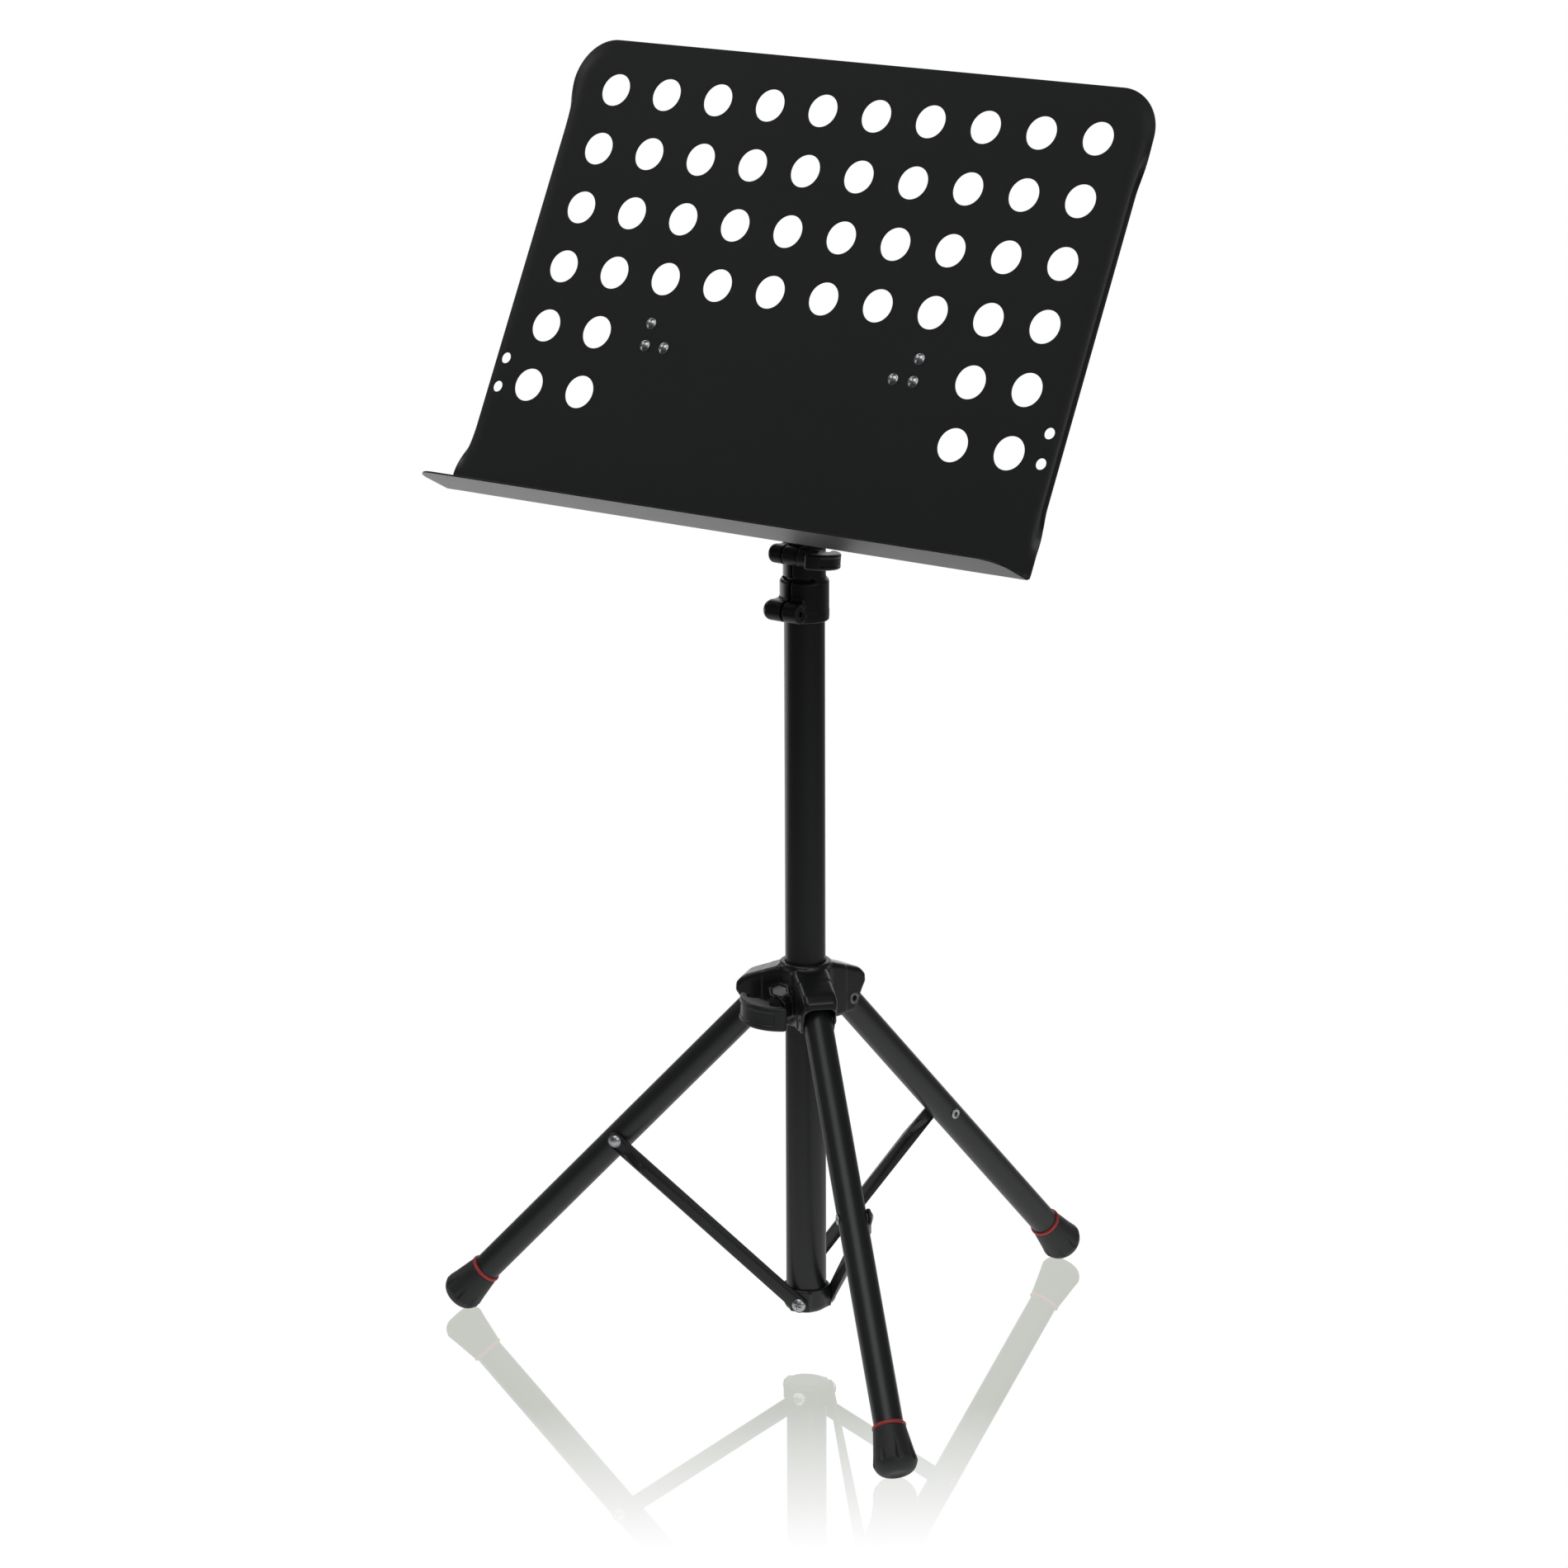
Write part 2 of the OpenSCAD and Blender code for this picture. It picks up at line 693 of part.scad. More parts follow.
// Fixes the tilt head to the upper tube: two short rivets, front and back.
module head_rivet() {
    color(zinc) for (a = [0, 180]) rotate([0, 0, a]) translate([0, -mast_r, head_rivet_z]) to_front() {
        translate([0, 0, 0.1]) cylinder(r = shank_r, h = head_sleeve_r - mast_r);
        translate([0, 0, head_sleeve_r - mast_r + 0.05]) dome(4.4, 1.8);
    }
}

module tilt_nut() {
    color(zinc) translate([0, tilt_boss_end - small_nut_h, tilt_z]) to_y()
        hex_nut(small_nut_af, small_nut_h, clamp_stud_r + fit);
}

module tilt_knob() {
    color(black_plastic) translate([0, tilt_boss_end + knob_gap, tilt_z]) to_y()
        half_moon(small_rim_r, tilt_rim_z, tilt_wing_z, small_wing_t,
            small_stem_r, clamp_stud_r, tilt_stud_in);
}

module tilt_stud() {
    color(zinc) translate([0, bar_r + 0.3, tilt_z]) to_y()
        cylinder(r = clamp_stud_r, h = tilt_boss_end + tilt_stud_in - bar_r);
}

// ---- desk ----

module crossbar() {
    color(black_metal) translate([-bar_len / 2, 0, tilt_z]) to_x() pipe(bar_r, bar_r - bar_wall, bar_len);
}

// Right-hand bracket: a foot riveted to the sheet and a web that holds the crossbar.
module bracket_shape() {
    difference() {
        union() {
            translate([foot_in, sheet_back, foot_low])
                cube([foot_out - foot_in, foot_t, foot_high - foot_low]);
            translate([foot_in, sheet_back, -web_r]) cube([foot_t, -sheet_back, 2 * web_r]);
            translate([foot_in, 0, 0]) to_x() cylinder(r = web_r, h = foot_t);
        }
        translate([foot_in - eps, 0, 0]) to_x() cylinder(r = bar_r, h = foot_t + 2 * eps);
        for (p = rivets_at) translate([p[0], sheet_back - eps, p[1]]) to_y()
            cylinder(r = desk_rivet_r, h = foot_t + 2 * eps);
    }
}

module desk_bracket_left() {
    color(black_metal) on_desk() mirror([1, 0, 0]) bracket_shape();
}

module desk_bracket_right() {
    color(black_metal) on_desk() bracket_shape();
}

module desk_rivets() {
    color(zinc) on_desk() for (s = [-1, 1]) for (p = rivets_at) translate([s * p[0], 0, p[1]]) desk_rivet();
}

module desk_rivet() {
    translate([0, sheet_front, 0]) to_front() dome(4.2, 2);
    translate([0, sheet_front - 0.1, 0]) to_y() cylinder(r = desk_rivet_r, h = sheet_t + foot_t + 0.2);
    translate([0, sheet_back + foot_t, 0]) to_y() cylinder(r = 3.3, h = 1.2);
}

module desk_plate() {
    color(black_metal) on_desk() difference() {
        union() {
            translate([0, sheet_back, 0]) to_front() linear_extrude(sheet_t) panel_outline();
            for (s = [0, 1]) mirror([s, 0, 0]) translate([desk_w / 2, sheet_front, flange_low])
                linear_extrude(flange_high - flange_low) flange_section();
            ledge();
        }
        for (row = [0:hole_rows - 1]) for (col = [0:hole_cols - 1])
            if (row < full_rows || col < end_cols || col >= hole_cols - end_cols)
                desk_hole((col - (hole_cols - 1) / 2) * hole_pitch_x,
                    first_row_z - row * hole_pitch_z, hole_d / 2);
        for (s = [-1, 1]) for (z = clip_hole_z) desk_hole(s * clip_hole_x, z, clip_hole_d / 2);
        for (s = [-1, 1]) for (p = rivets_at) desk_hole(s * p[0], p[1], desk_rivet_r);
    }
}

module desk_hole(x, z, r) {
    translate([x, sheet_front - eps, z]) to_y() cylinder(r = r, h = sheet_t + 2 * eps);
}

// Front view of the flat part of the sheet.
module panel_outline() {
    flat = desk_w / 2 - flange_bend;
    low = -desk_down + ledge_bend;
    union() {
        translate([-flat, low]) square([2 * flat, desk_up - corner_r - low]);
        translate([-desk_w / 2, flange_high]) square([desk_w, desk_up - corner_r - flange_high]);
        translate([-desk_w / 2 + corner_r, desk_up - corner_r]) square([desk_w - 2 * corner_r, corner_r]);
        for (s = [-1, 1]) translate([s * (desk_w / 2 - corner_r), desk_up - corner_r]) circle(corner_r);
        polygon([
            [-ledge_w / 2, low], [ledge_w / 2, low], [ledge_w / 2 - 3, flare_z], [flat, flange_low],
            [-flat, flange_low], [-ledge_w / 2 + 3, flare_z]
        ]);
    }
}

// Plan of a bent side: a quarter bend from the front face, then straight back. Its outer face is x = 0.
module flange_section() {
    difference() {
        union() {
            translate([-flange_bend, flange_bend]) intersection() {
                circle(flange_bend);
                translate([0, -flange_bend]) square(flange_bend);
            }
            translate([-flange_bend, flange_bend]) square([flange_bend, flange_depth - flange_bend]);
        }
        translate([-flange_bend, flange_bend]) circle(flange_bend - sheet_t);
        translate([-flange_bend - eps, flange_bend])
            square([flange_bend - sheet_t + eps, flange_depth]);
    }
}

// The bend and the ledge. The ledge's upper face is at z = -desk_down.
module ledge() {
    rear = sheet_front - ledge_bend;
    translate([-ledge_w / 2, rear, -desk_down + ledge_bend]) to_x() linear_extrude(ledge_w) bend_section();
    corner_x = ledge_w / 2 - ledge_corner_r;
    corner_y = sheet_front - ledge_depth + ledge_corner_r;
    translate([0, 0, -desk_down - sheet_t]) linear_extrude(sheet_t) union() {
        translate([-ledge_w / 2, corner_y]) square([ledge_w, rear - corner_y]);
        translate([-corner_x, corner_y - ledge_corner_r]) square([2 * corner_x, ledge_corner_r]);
        for (s = [-1, 1]) translate([s * corner_x, corner_y]) circle(ledge_corner_r);
    }
}

// Quarter ring between the sheet and the ledge, drawn with x down and y back.
module bend_section() {
    difference() {
        intersection() {
            circle(ledge_bend + sheet_t);
            square(ledge_bend + sheet_t);
        }
        circle(ledge_bend);
    }
}

outer_tube();
base_bracket();
base_screws();
height_clamp();
clamp_screw();
clamp_nut();
height_nut();
height_knob();
height_stud();
hub_body();
hub_rivets();
hub_nut();
hub_knob();
hub_stud();
leg_tube(0);  // leg_tube_1
leg_tube(1);  // leg_tube_2
leg_tube(2);  // leg_tube_3
leg_boot(0);  // leg_boot_1
leg_boot(1);  // leg_boot_2
leg_boot(2);  // leg_boot_3
leg_ring(0);  // leg_ring_1
leg_ring(1);  // leg_ring_2
leg_ring(2);  // leg_ring_3
rivet_tail(0);  // rivet_tail_1
rivet_tail(1);  // rivet_tail_2
rivet_tail(2);  // rivet_tail_3
strut(0);  // strut_1
strut(1);  // strut_2
strut(2);  // strut_3
rivet_head(0);  // rivet_head_1
rivet_head(1);  // rivet_head_2
rivet_head(2);  // rivet_head_3
guide_bush();
inner_tube();
tilt_head();
head_rivet();
tilt_nut();
tilt_knob();
tilt_stud();
crossbar();
desk_bracket_left();
desk_bracket_right();
desk_plate();
desk_rivets();
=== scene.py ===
import json
import math

import bmesh
import bpy
import numpy as np
from mathutils import Matrix, Vector
from mathutils.geometry import delaunay_2d_cdt


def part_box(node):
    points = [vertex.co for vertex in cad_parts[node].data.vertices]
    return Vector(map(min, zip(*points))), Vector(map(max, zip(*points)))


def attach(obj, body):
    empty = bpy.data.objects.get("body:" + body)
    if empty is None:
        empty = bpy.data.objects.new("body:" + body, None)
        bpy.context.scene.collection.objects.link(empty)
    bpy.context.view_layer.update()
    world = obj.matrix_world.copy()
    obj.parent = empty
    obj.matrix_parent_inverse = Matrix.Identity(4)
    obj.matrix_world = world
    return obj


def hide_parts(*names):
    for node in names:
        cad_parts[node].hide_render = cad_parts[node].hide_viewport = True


# A folding tripod music stand with a perforated sheet-steel desk.
# Shapes are worked out in millimetres, each in its own frame, and placed in metres.

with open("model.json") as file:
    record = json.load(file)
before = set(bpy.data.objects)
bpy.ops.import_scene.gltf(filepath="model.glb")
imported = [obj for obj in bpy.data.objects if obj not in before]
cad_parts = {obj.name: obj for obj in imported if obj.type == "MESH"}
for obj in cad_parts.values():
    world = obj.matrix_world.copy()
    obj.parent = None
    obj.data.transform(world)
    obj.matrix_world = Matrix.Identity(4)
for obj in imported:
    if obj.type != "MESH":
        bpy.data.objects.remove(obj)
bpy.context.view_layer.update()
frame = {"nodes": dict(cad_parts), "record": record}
record = frame["record"]
joints = {j["name"]: j for j in record["behaviour"]["joints"]}
base_colors = {m["slot"]: m["base_color"][:3] for m in record["materials"]}

MM = 0.001
LEGS = (1, 2, 3)


# ---- places in the frame, in millimetres ----

def box_mm(node):
    """Lowest and highest corner of a CAD node."""
    low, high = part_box(node)
    return np.array(low) / MM, np.array(high) / MM


def joint_mm(name):
    return np.array(joints[name]["pos_m"]) / MM


def frame_matrix(origin, x_axis, y_axis, z_axis, unit=MM):
    """The matrix that takes a local frame in millimetres to the world in metres."""
    m = Matrix.Identity(4)
    for column, axis in enumerate((x_axis, y_axis, z_axis)):
        for row in range(3):
            m[row][column] = axis[row] * unit
    for row in range(3):
        m[row][3] = origin[row] * unit
    return m


UP = np.array((0.0, 0.0, 1.0))
UPRIGHT = frame_matrix((0, 0, 0), (1, 0, 0), (0, 1, 0), (0, 0, 1))


def leg_directions(k):
    """The direction out along leg k and the direction of its hinge."""
    tangent = np.array(joints[f"leg_hinge_{k}"]["axis"])
    return np.cross(tangent, UP), tangent


def swung(out, angle):
    """A direction in a leg's plane, turned from straight up by angle towards the outside."""
    return out * math.sin(angle) + UP * math.cos(angle)


SPREAD = math.radians(joints["leg_hinge_1"]["range_deg"][1])
PIVOT = joint_mm("leg_hinge_1")
PIVOT_R = math.hypot(PIVOT[0], PIVOT[1])
PIVOT_Z = PIVOT[2]
STRUT_AT = 152.5                  # from the hub hinge along the leg to the strut's rivet
STRUT_Z = joint_mm("strut_hinge_1")[2]
rivet_r = PIVOT_R + STRUT_AT * math.sin(SPREAD)
rivet_z = PIVOT_Z - STRUT_AT * math.cos(SPREAD)
STRUT_LEN = math.hypot(rivet_r, rivet_z - STRUT_Z)
STRUT_LEAN = math.atan2(rivet_r, rivet_z - STRUT_Z)


def facing_leg(k):
    """Local X points out along leg k, local Y round the tube, local Z up, all in millimetres."""
    out, tangent = leg_directions(k)
    return frame_matrix((0, 0, 0), out, tangent, UP, 1.0)


def along_leg(k):
    """Local Z runs from the hub hinge down the leg, local Y along the hinge."""
    out, tangent = leg_directions(k)
    down = swung(out, math.pi - SPREAD)
    return frame_matrix(joint_mm(f"leg_hinge_{k}"), np.cross(tangent, down), tangent, down)


def along_strut(k):
    """Local Z runs from the base hinge up the strap to the leg's rivet."""
    out, tangent = leg_directions(k)
    rise = swung(out, STRUT_LEAN)
    return frame_matrix(joint_mm(f"strut_hinge_{k}"), np.cross(tangent, rise), tangent, rise)


TILT = joint_mm("desk_tilt")
ledge_top = next(m for m in record["mounts"] if m["name"] == "ledge_top")
DESK_UP = np.array(ledge_top["axis"])
DESK_FRONT = np.cross((1.0, 0.0, 0.0), DESK_UP)
# Local X to the right, local Y back through the sheet, local Z up the sheet, about the tilt axis.
ON_DESK = frame_matrix(TILT, (1, 0, 0), -DESK_FRONT, DESK_UP)


# ---- meshes ----

class Shape:
    """Vertices in millimetres and faces, gathered from several parts."""

    def __init__(self):
        self.points = []
        self.faces = []

    def add(self, points, faces, place=None):
        start = len(self.points)
        if place is not None:
            points = [tuple(place @ Vector(p)) for p in points]
        self.points += [tuple(p) for p in points]
        self.faces += [tuple(i + start for i in f) for f in faces]
        return self


def piece(name, shape, place, body, slot, smooth_angle=None, lean=True, material=None):
    """Makes the object, puts it on its body and hides the CAD node of its name, which it stands for."""
    mesh = bpy.data.meshes.new(name)
    mesh.from_pydata([tuple(place @ Vector(p)) for p in shape.points], [], shape.faces)
    bm = bmesh.new()
    bm.from_mesh(mesh)
    bmesh.ops.remove_doubles(bm, verts=bm.verts, dist=1e-7)
    bmesh.ops.recalc_face_normals(bm, faces=bm.faces)
    for f in bm.faces:
        f.smooth = True
    bm.to_mesh(mesh)
    bm.free()
    if smooth_angle is not None:
        mesh.set_sharp_from_angle(angle=math.radians(smooth_angle))
    mesh.materials.append(material or materials[slot])
    obj = bpy.data.objects.new(name, mesh)
    bpy.context.scene.collection.objects.link(obj)
    if lean:
        weighted = obj.modifiers.new("weighted", "WEIGHTED_NORMAL")
        weighted.keep_sharp = True
        weighted.weight = 80
    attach(obj, body)
    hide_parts(name)


def rounded(corners, steps=6):
    """A closed outline through (x, y, radius) corners, with an arc at each corner that has a radius."""
    outline = []
    count = len(corners)
    for i, (x, y, radius) in enumerate(corners):
        here = np.array((x, y), float)
        back = np.array(corners[i - 1][:2], float) - here
        ahead = np.array(corners[(i + 1) % count][:2], float) - here
        back /= np.linalg.norm(back)
        ahead /= np.linalg.norm(ahead)
        half = 0.5 * math.acos(np.clip(back @ ahead, -1, 1))
        if radius == 0 or half > math.radians(89.5):
            outline.append(tuple(here))
            continue
        middle = (back + ahead) / np.linalg.norm(back + ahead)
        centre = here + middle * radius / math.sin(half)
        first = here + back * radius / math.tan(half) - centre
        turn = math.pi - 2 * half
        if back[0] * ahead[1] - back[1] * ahead[0] > 0:
            turn = -turn
        for s in range(steps + 1):
            a = turn * s / steps
            outline.append((centre[0] + first[0] * math.cos(a) - first[1] * math.sin(a),
                            centre[1] + first[0] * math.sin(a) + first[1] * math.cos(a)))
    return outline


def turned(profile, sides=96, bump=None):
    """Turns a closed (r, z) outline about Z. bump(angle, r, z) may move a point in or out."""
    points = []
    faces = []
    n = len(profile)
    for s in range(sides):
        a = 2 * math.pi * s / sides
        for r, z in profile:
            rr = max(r + (bump(a, r, z) if bump and r > 0 else 0.0), 0.0)
            points.append((rr * math.cos(a), rr * math.sin(a), z))
    for s in range(sides):
        t = (s + 1) % sides
        for i in range(n):
            j = (i + 1) % n
            if profile[i][0] < 1e-9 and profile[j][0] < 1e-9:
                continue
            quad = [s * n + i, t * n + i, t * n + j, s * n + j]
            if profile[i][0] < 1e-9:
                quad.remove(t * n + i)
            if profile[j][0] < 1e-9:
                quad.remove(t * n + j)
            faces.append(quad)
    return points, faces


def tube_outline(outer, bore, low, high, lip=0.3):
    """Half section of a tube whose ends have broken edges."""
    return rounded([(bore, low, lip), (outer, low, lip), (outer, high, lip), (bore, high, lip)], 3)


def shift(x=0.0, y=0.0, z=0.0):
    return Matrix.Translation((x, y, z))


def turn(angle, axis):
    return Matrix.Rotation(math.radians(angle), 4, axis)


# ---- solids from signed distances, for moulded parts ----

def surface(distance, low, high, step):
    """Closed quad mesh of the surface where distance(x, y, z) is zero, on a grid of cubes."""
    axes = [np.arange(a, b + step, step, dtype=np.float64) for a, b in zip(low, high)]
    x, y, z = np.meshgrid(*axes, indexing="ij", sparse=True)
    d = np.ascontiguousarray(np.broadcast_to(distance(x, y, z), [len(a) for a in axes]))
    inside = d < 0
    cells = [n - 1 for n in d.shape]

    def corner(values, offset):
        return values[tuple(slice(o, o + n) for o, n in zip(offset, cells))]

    offsets = [(i, j, k) for i in (0, 1) for j in (0, 1) for k in (0, 1)]
    filled = sum(corner(inside, o).astype(np.int8) for o in offsets)
    mixed = (filled > 0) & (filled < 8)
    where = np.argwhere(mixed)
    number = np.full(mixed.shape, -1)
    number[mixed] = np.arange(len(where))
    total = np.zeros((len(where), 3))
    count = np.zeros(len(where))
    for axis in range(3):
        for o in offsets:
            if o[axis]:
                continue
            end = tuple(v + (1 if i == axis else 0) for i, v in enumerate(o))
            a = corner(d, o)[mixed]
            b = corner(d, end)[mixed]
            crossed = (a < 0) != (b < 0)
            share = np.where(crossed, a / np.where(crossed, a - b, 1.0), 0.0)
            for i in range(3):
                total[:, i] += np.where(crossed, o[i] + (share if i == axis else 0.0), 0.0)
            count += crossed
    points = np.array(low) + (where + total / count[:, None]) * step
    faces = []
    for axis in range(3):
        one, two = [i for i in range(3) if i != axis]
        inner = [slice(1, n) for n in cells]
        inner[axis] = slice(0, cells[axis])
        beyond = list(inner)
        beyond[axis] = slice(1, cells[axis] + 1)
        change = np.argwhere(inside[tuple(inner)] != inside[tuple(beyond)])
        change[:, one] += 1
        change[:, two] += 1
        ring = []
        for da, db in ((0, 0), (1, 0), (1, 1), (0, 1)):
            at = change.copy()
            at[:, one] -= da
            at[:, two] -= db
            ring.append(number[at[:, 0], at[:, 1], at[:, 2]])
        faces.append(np.stack(ring, 1))
    return Shape().add(points.tolist(), np.concatenate(faces).tolist())


def rod(a, b, radius):
    return np.sqrt(a * a + b * b) - radius


def between(v, low, high):
    return np.maximum(low - v, v - high)


def both(a, b, radius=0.0):
    """What lies in a and b, with the edge between them rounded."""
    u, v = a + radius, b + radius
    return np.minimum(np.maximum(u, v), 0) + np.hypot(np.maximum(u, 0), np.maximum(v, 0)) - radius


def join(a, b, soft=0.01):
    """a and b together, with a fillet where they meet."""
    h = np.clip(0.5 + 0.5 * (b - a) / soft, 0, 1)
    return b + (a - b) * h - soft * h * (1 - h)


def less(a, b, soft=0.01):
    """a with b taken away."""
    return -join(-a, b, soft)


def inside_outline(p, q, outline):
    """Signed distance to a closed outline in the plane of p and q."""
    nearest = np.inf
    sign = 1.0
    for (ax, ay), (bx, by) in zip(outline, outline[1:] + outline[:1]):
        ex, ey = bx - ax, by - ay
        wx, wy = p - ax, q - ay
        t = np.clip((wx * ex + wy * ey) / (ex * ex + ey * ey), 0, 1)
        nearest = np.minimum(nearest, (wx - ex * t) ** 2 + (wy - ey * t) ** 2)
        above, below, left = q >= ay, q < by, ex * wy > ey * wx
        crossed = (above & below & left) | (~above & ~below & ~left)
        sign = np.where(crossed, -sign, sign)
    return sign * np.sqrt(nearest)


def hexagon(a, b, flats):
    """Signed distance to a hexagon with corners along a."""
    side = np.maximum(np.abs(b), np.abs(a) * math.cos(math.pi / 6) + np.abs(b) * 0.5)
    return side - flats / 2


def moulded(name, distance, low, high, step, place, body, slot):
    """A moulded piece."""
    shape = surface(distance, low, high, step * (1))
    piece(name, shape, place, body, slot, lean=False)


# ---- bent sheet metal ----

def loop_offset(loop, distance):
    """Moves a closed loop sideways: to its left as it runs, when distance is positive."""
    p = np.array(loop)
    along = np.roll(p, -1, 0) - np.roll(p, 1, 0)
    along /= np.linalg.norm(along, axis=1)[:, None]
    return p + np.stack((-along[:, 1], along[:, 0]), 1) * distance


def is_inside(points, loop):
    """Which of the points lie inside a closed loop."""
    p = np.asarray(points)
    result = np.zeros(len(p), bool)
    for (ax, ay), (bx, by) in zip(loop, np.roll(loop, -1, 0)):
        if ay == by:
            continue
        crosses = (ay > p[:, 1]) != (by > p[:, 1])
        result ^= crosses & (p[:, 0] < (bx - ax) * (p[:, 1] - ay) / (by - ay) + ax)
    return result


def far_from(points, loop, gap):
    p = np.asarray(points)
    q = np.asarray(loop)
    e = np.roll(q, -1, 0) - q
    keep = np.ones(len(p), bool)
    for a, d in zip(q, e):
        t = np.clip(((p - a) @ d) / max(d @ d, 1e-12), 0, 1)
        keep &= np.linalg.norm(p - a - t[:, None] * d, axis=1) > gap
    return keep


def circle(x, y, radius, sides):
    """A clockwise loop, so that its left side is outside the hole."""
    return [(x + radius * math.cos(-2 * math.pi * s / sides), y + radius * math.sin(-2 * math.pi * s / sides))
            for s in range(sides)]


def sheet_metal(outline, holes, fill, bend, thickness, edge=0.35, edge_steps=3):
    """A blank cut to an anticlockwise outline with clockwise holes, bent by bend(u, v) -> x, y, z.

    fill lists points that let the flat blank follow the bends. Every cut edge is rounded.
    """
    loops = [np.array(outline)] + [np.array(h) for h in holes]
    inner = [loop_offset(loop, edge) for loop in loops]
    points = [p for loop in inner for p in loop]
    constraints = []
    start = 0
    for loop in inner:
        n = len(loop)
        constraints += [(start + i, start + (i + 1) % n) for i in range(n)]
        start += n
    if len(fill):
        fill = np.asarray(fill, float)
        keep = is_inside(fill, inner[0]) & far_from(fill, inner[0], 0.6)
        for loop in inner[1:]:
            keep &= ~is_inside(fill, loop) & far_from(fill, loop, 0.6)
        points += list(fill[keep])
    flat, _, triangles = delaunay_2d_cdt([Vector(p) for p in points], constraints, [], 1, 1e-5)[:3]
    flat = np.array([tuple(p) for p in flat])
    triangles = np.array([tuple(t) for t in triangles])
    middle = flat[triangles].mean(1)
    keep = is_inside(middle, inner[0])
    for loop in inner[1:]:
        keep &= ~is_inside(middle, loop)
    triangles = triangles[keep]

    def skin(uv, height):
        """Points on the bent blank, moved off its middle by height."""
        small = 0.01
        here = bend(uv[:, 0], uv[:, 1])
        across = bend(uv[:, 0] + small, uv[:, 1]) - bend(uv[:, 0] - small, uv[:, 1])
        along = bend(uv[:, 0], uv[:, 1] + small) - bend(uv[:, 0], uv[:, 1] - small)
        normal = np.cross(across, along)
        normal /= np.linalg.norm(normal, axis=1)[:, None]
        return here + normal * height

    half = thickness / 2
    shape = Shape()
    for side in (1, -1):
        shape.add(skin(flat, side * half).tolist(), triangles.tolist())
    for loop in loops:
        n = len(loop)
        angles = [math.pi / 2 * s / edge_steps for s in range(edge_steps + 1)]
        ring = [(edge * (1 - math.sin(a)), half - edge * (1 - math.cos(a))) for a in angles]
        ring += [(inset, -height) for inset, height in reversed(ring)]
        rows = np.concatenate([skin(loop_offset(loop, inset), height) for inset, height in ring])
        quads = [(r * n + i, r * n + (i + 1) % n, (r + 1) * n + (i + 1) % n, (r + 1) * n + i)
                 for r in range(len(ring) - 1) for i in range(n)]
        shape.add(rows.tolist(), quads)
    return shape


def smoothstep(t):
    t = np.clip(t, 0, 1)
    return t * t * (3 - 2 * t)


# ---- materials ----

class Nodes:
    """A node tree, and the few nodes that the materials, the floor and the world are made of."""

    def __init__(self, tree):
        self.nodes = tree.nodes
        self.links = tree.links

    def new(self, kind, **inputs):
        n = self.nodes.new("ShaderNode" + kind)
        for name, value in inputs.items():
            n.inputs[name].default_value = value
        return n

    def place(self, output="Object"):
        return self.new("TexCoord").outputs[output]

    def noise(self, where, scale, detail=2.0, rough=0.5):
        n = self.new("TexNoise", Scale=scale, Detail=detail, Roughness=rough)
        self.links.new(where, n.inputs["Vector"])
        return n.outputs["Fac"]

    def ramp(self, value, low, high, out_low, out_high):
        """Maps value from low..high to out_low..out_high."""
        n = self.new("MapRange", **{"From Min": low, "From Max": high, "To Min": out_low, "To Max": out_high})
        self.links.new(value, n.inputs["Value"])
        return n.outputs["Result"]

    def shaded(self, value, color, low, high):
        """The base colour, lighter and darker with value."""
        n = self.new("Mix")
        n.data_type = "RGBA"
        n.inputs["A"].default_value = (*[c * low for c in color], 1)
        n.inputs["B"].default_value = (*[min(c * high, 1) for c in color], 1)
        self.links.new(value, n.inputs["Factor"])
        return n.outputs["Result"]

    def bumped(self, height, distance, strength, before=None):
        n = self.new("Bump", Distance=distance, Strength=strength)
        self.links.new(height, n.inputs["Height"])
        if before is not None:
            self.links.new(before, n.inputs["Normal"])
        return n.outputs["Normal"]

    def along(self, vector, direction):
        """How far a vector goes in one direction."""
        n = self.new("VectorMath")
        n.operation = "DOT_PRODUCT"
        self.links.new(vector, n.inputs[0])
        n.inputs[1].default_value = direction
        return n.outputs["Value"]

    def math(self, operation, a, b):
        n = self.new("Math")
        n.operation = operation
        for value, socket in zip((a, b), n.inputs):
            if isinstance(value, float):
                socket.default_value = value
            else:
                self.links.new(value, socket)
        return n.outputs["Value"]

    def emitting(self, color=(1.0, 1.0, 1.0)):
        return self.new("Emission", Color=(*color, 1), Strength=1.0)

    def mixed(self, share, one, two):
        n = self.new("MixShader")
        for value, socket in zip((share, one, two), n.inputs):
            self.links.new(value, socket)
        return n.outputs["Shader"]


def new_material(name, color, roughness):
    material = bpy.data.materials.new(name)
    material.use_nodes = True
    shader = material.node_tree.nodes["Principled BSDF"]
    shader.inputs["Base Color"].default_value = (*color, 1)
    shader.inputs["Roughness"].default_value = roughness
    return material, Nodes(material.node_tree), shader.inputs


def coated(slot, roughness, grain, grain_depth, peel_depth, spread=0.06):
    """Powder-coated or moulded black: a fine grain over a soft orange peel, and uneven sheen."""
    color = base_colors[slot]
    material, tree, inputs = new_material(slot, color, roughness)
    where = tree.place()
    cloud = tree.noise(where, 14, 3)
    peel = tree.noise(where, 260, 2)
    fine = tree.noise(where, grain, 3, 0.6)
    tree.links.new(tree.shaded(cloud, color, 0.86, 1.16), inputs["Base Color"])
    speckle = tree.ramp(fine, 0.3, 0.7, roughness - spread, roughness + spread)
    tree.links.new(speckle, inputs["Roughness"])
    soft = tree.bumped(peel, peel_depth, 0.5)
    tree.links.new(tree.bumped(fine, grain_depth, 0.5, soft), inputs["Normal"])
    return material


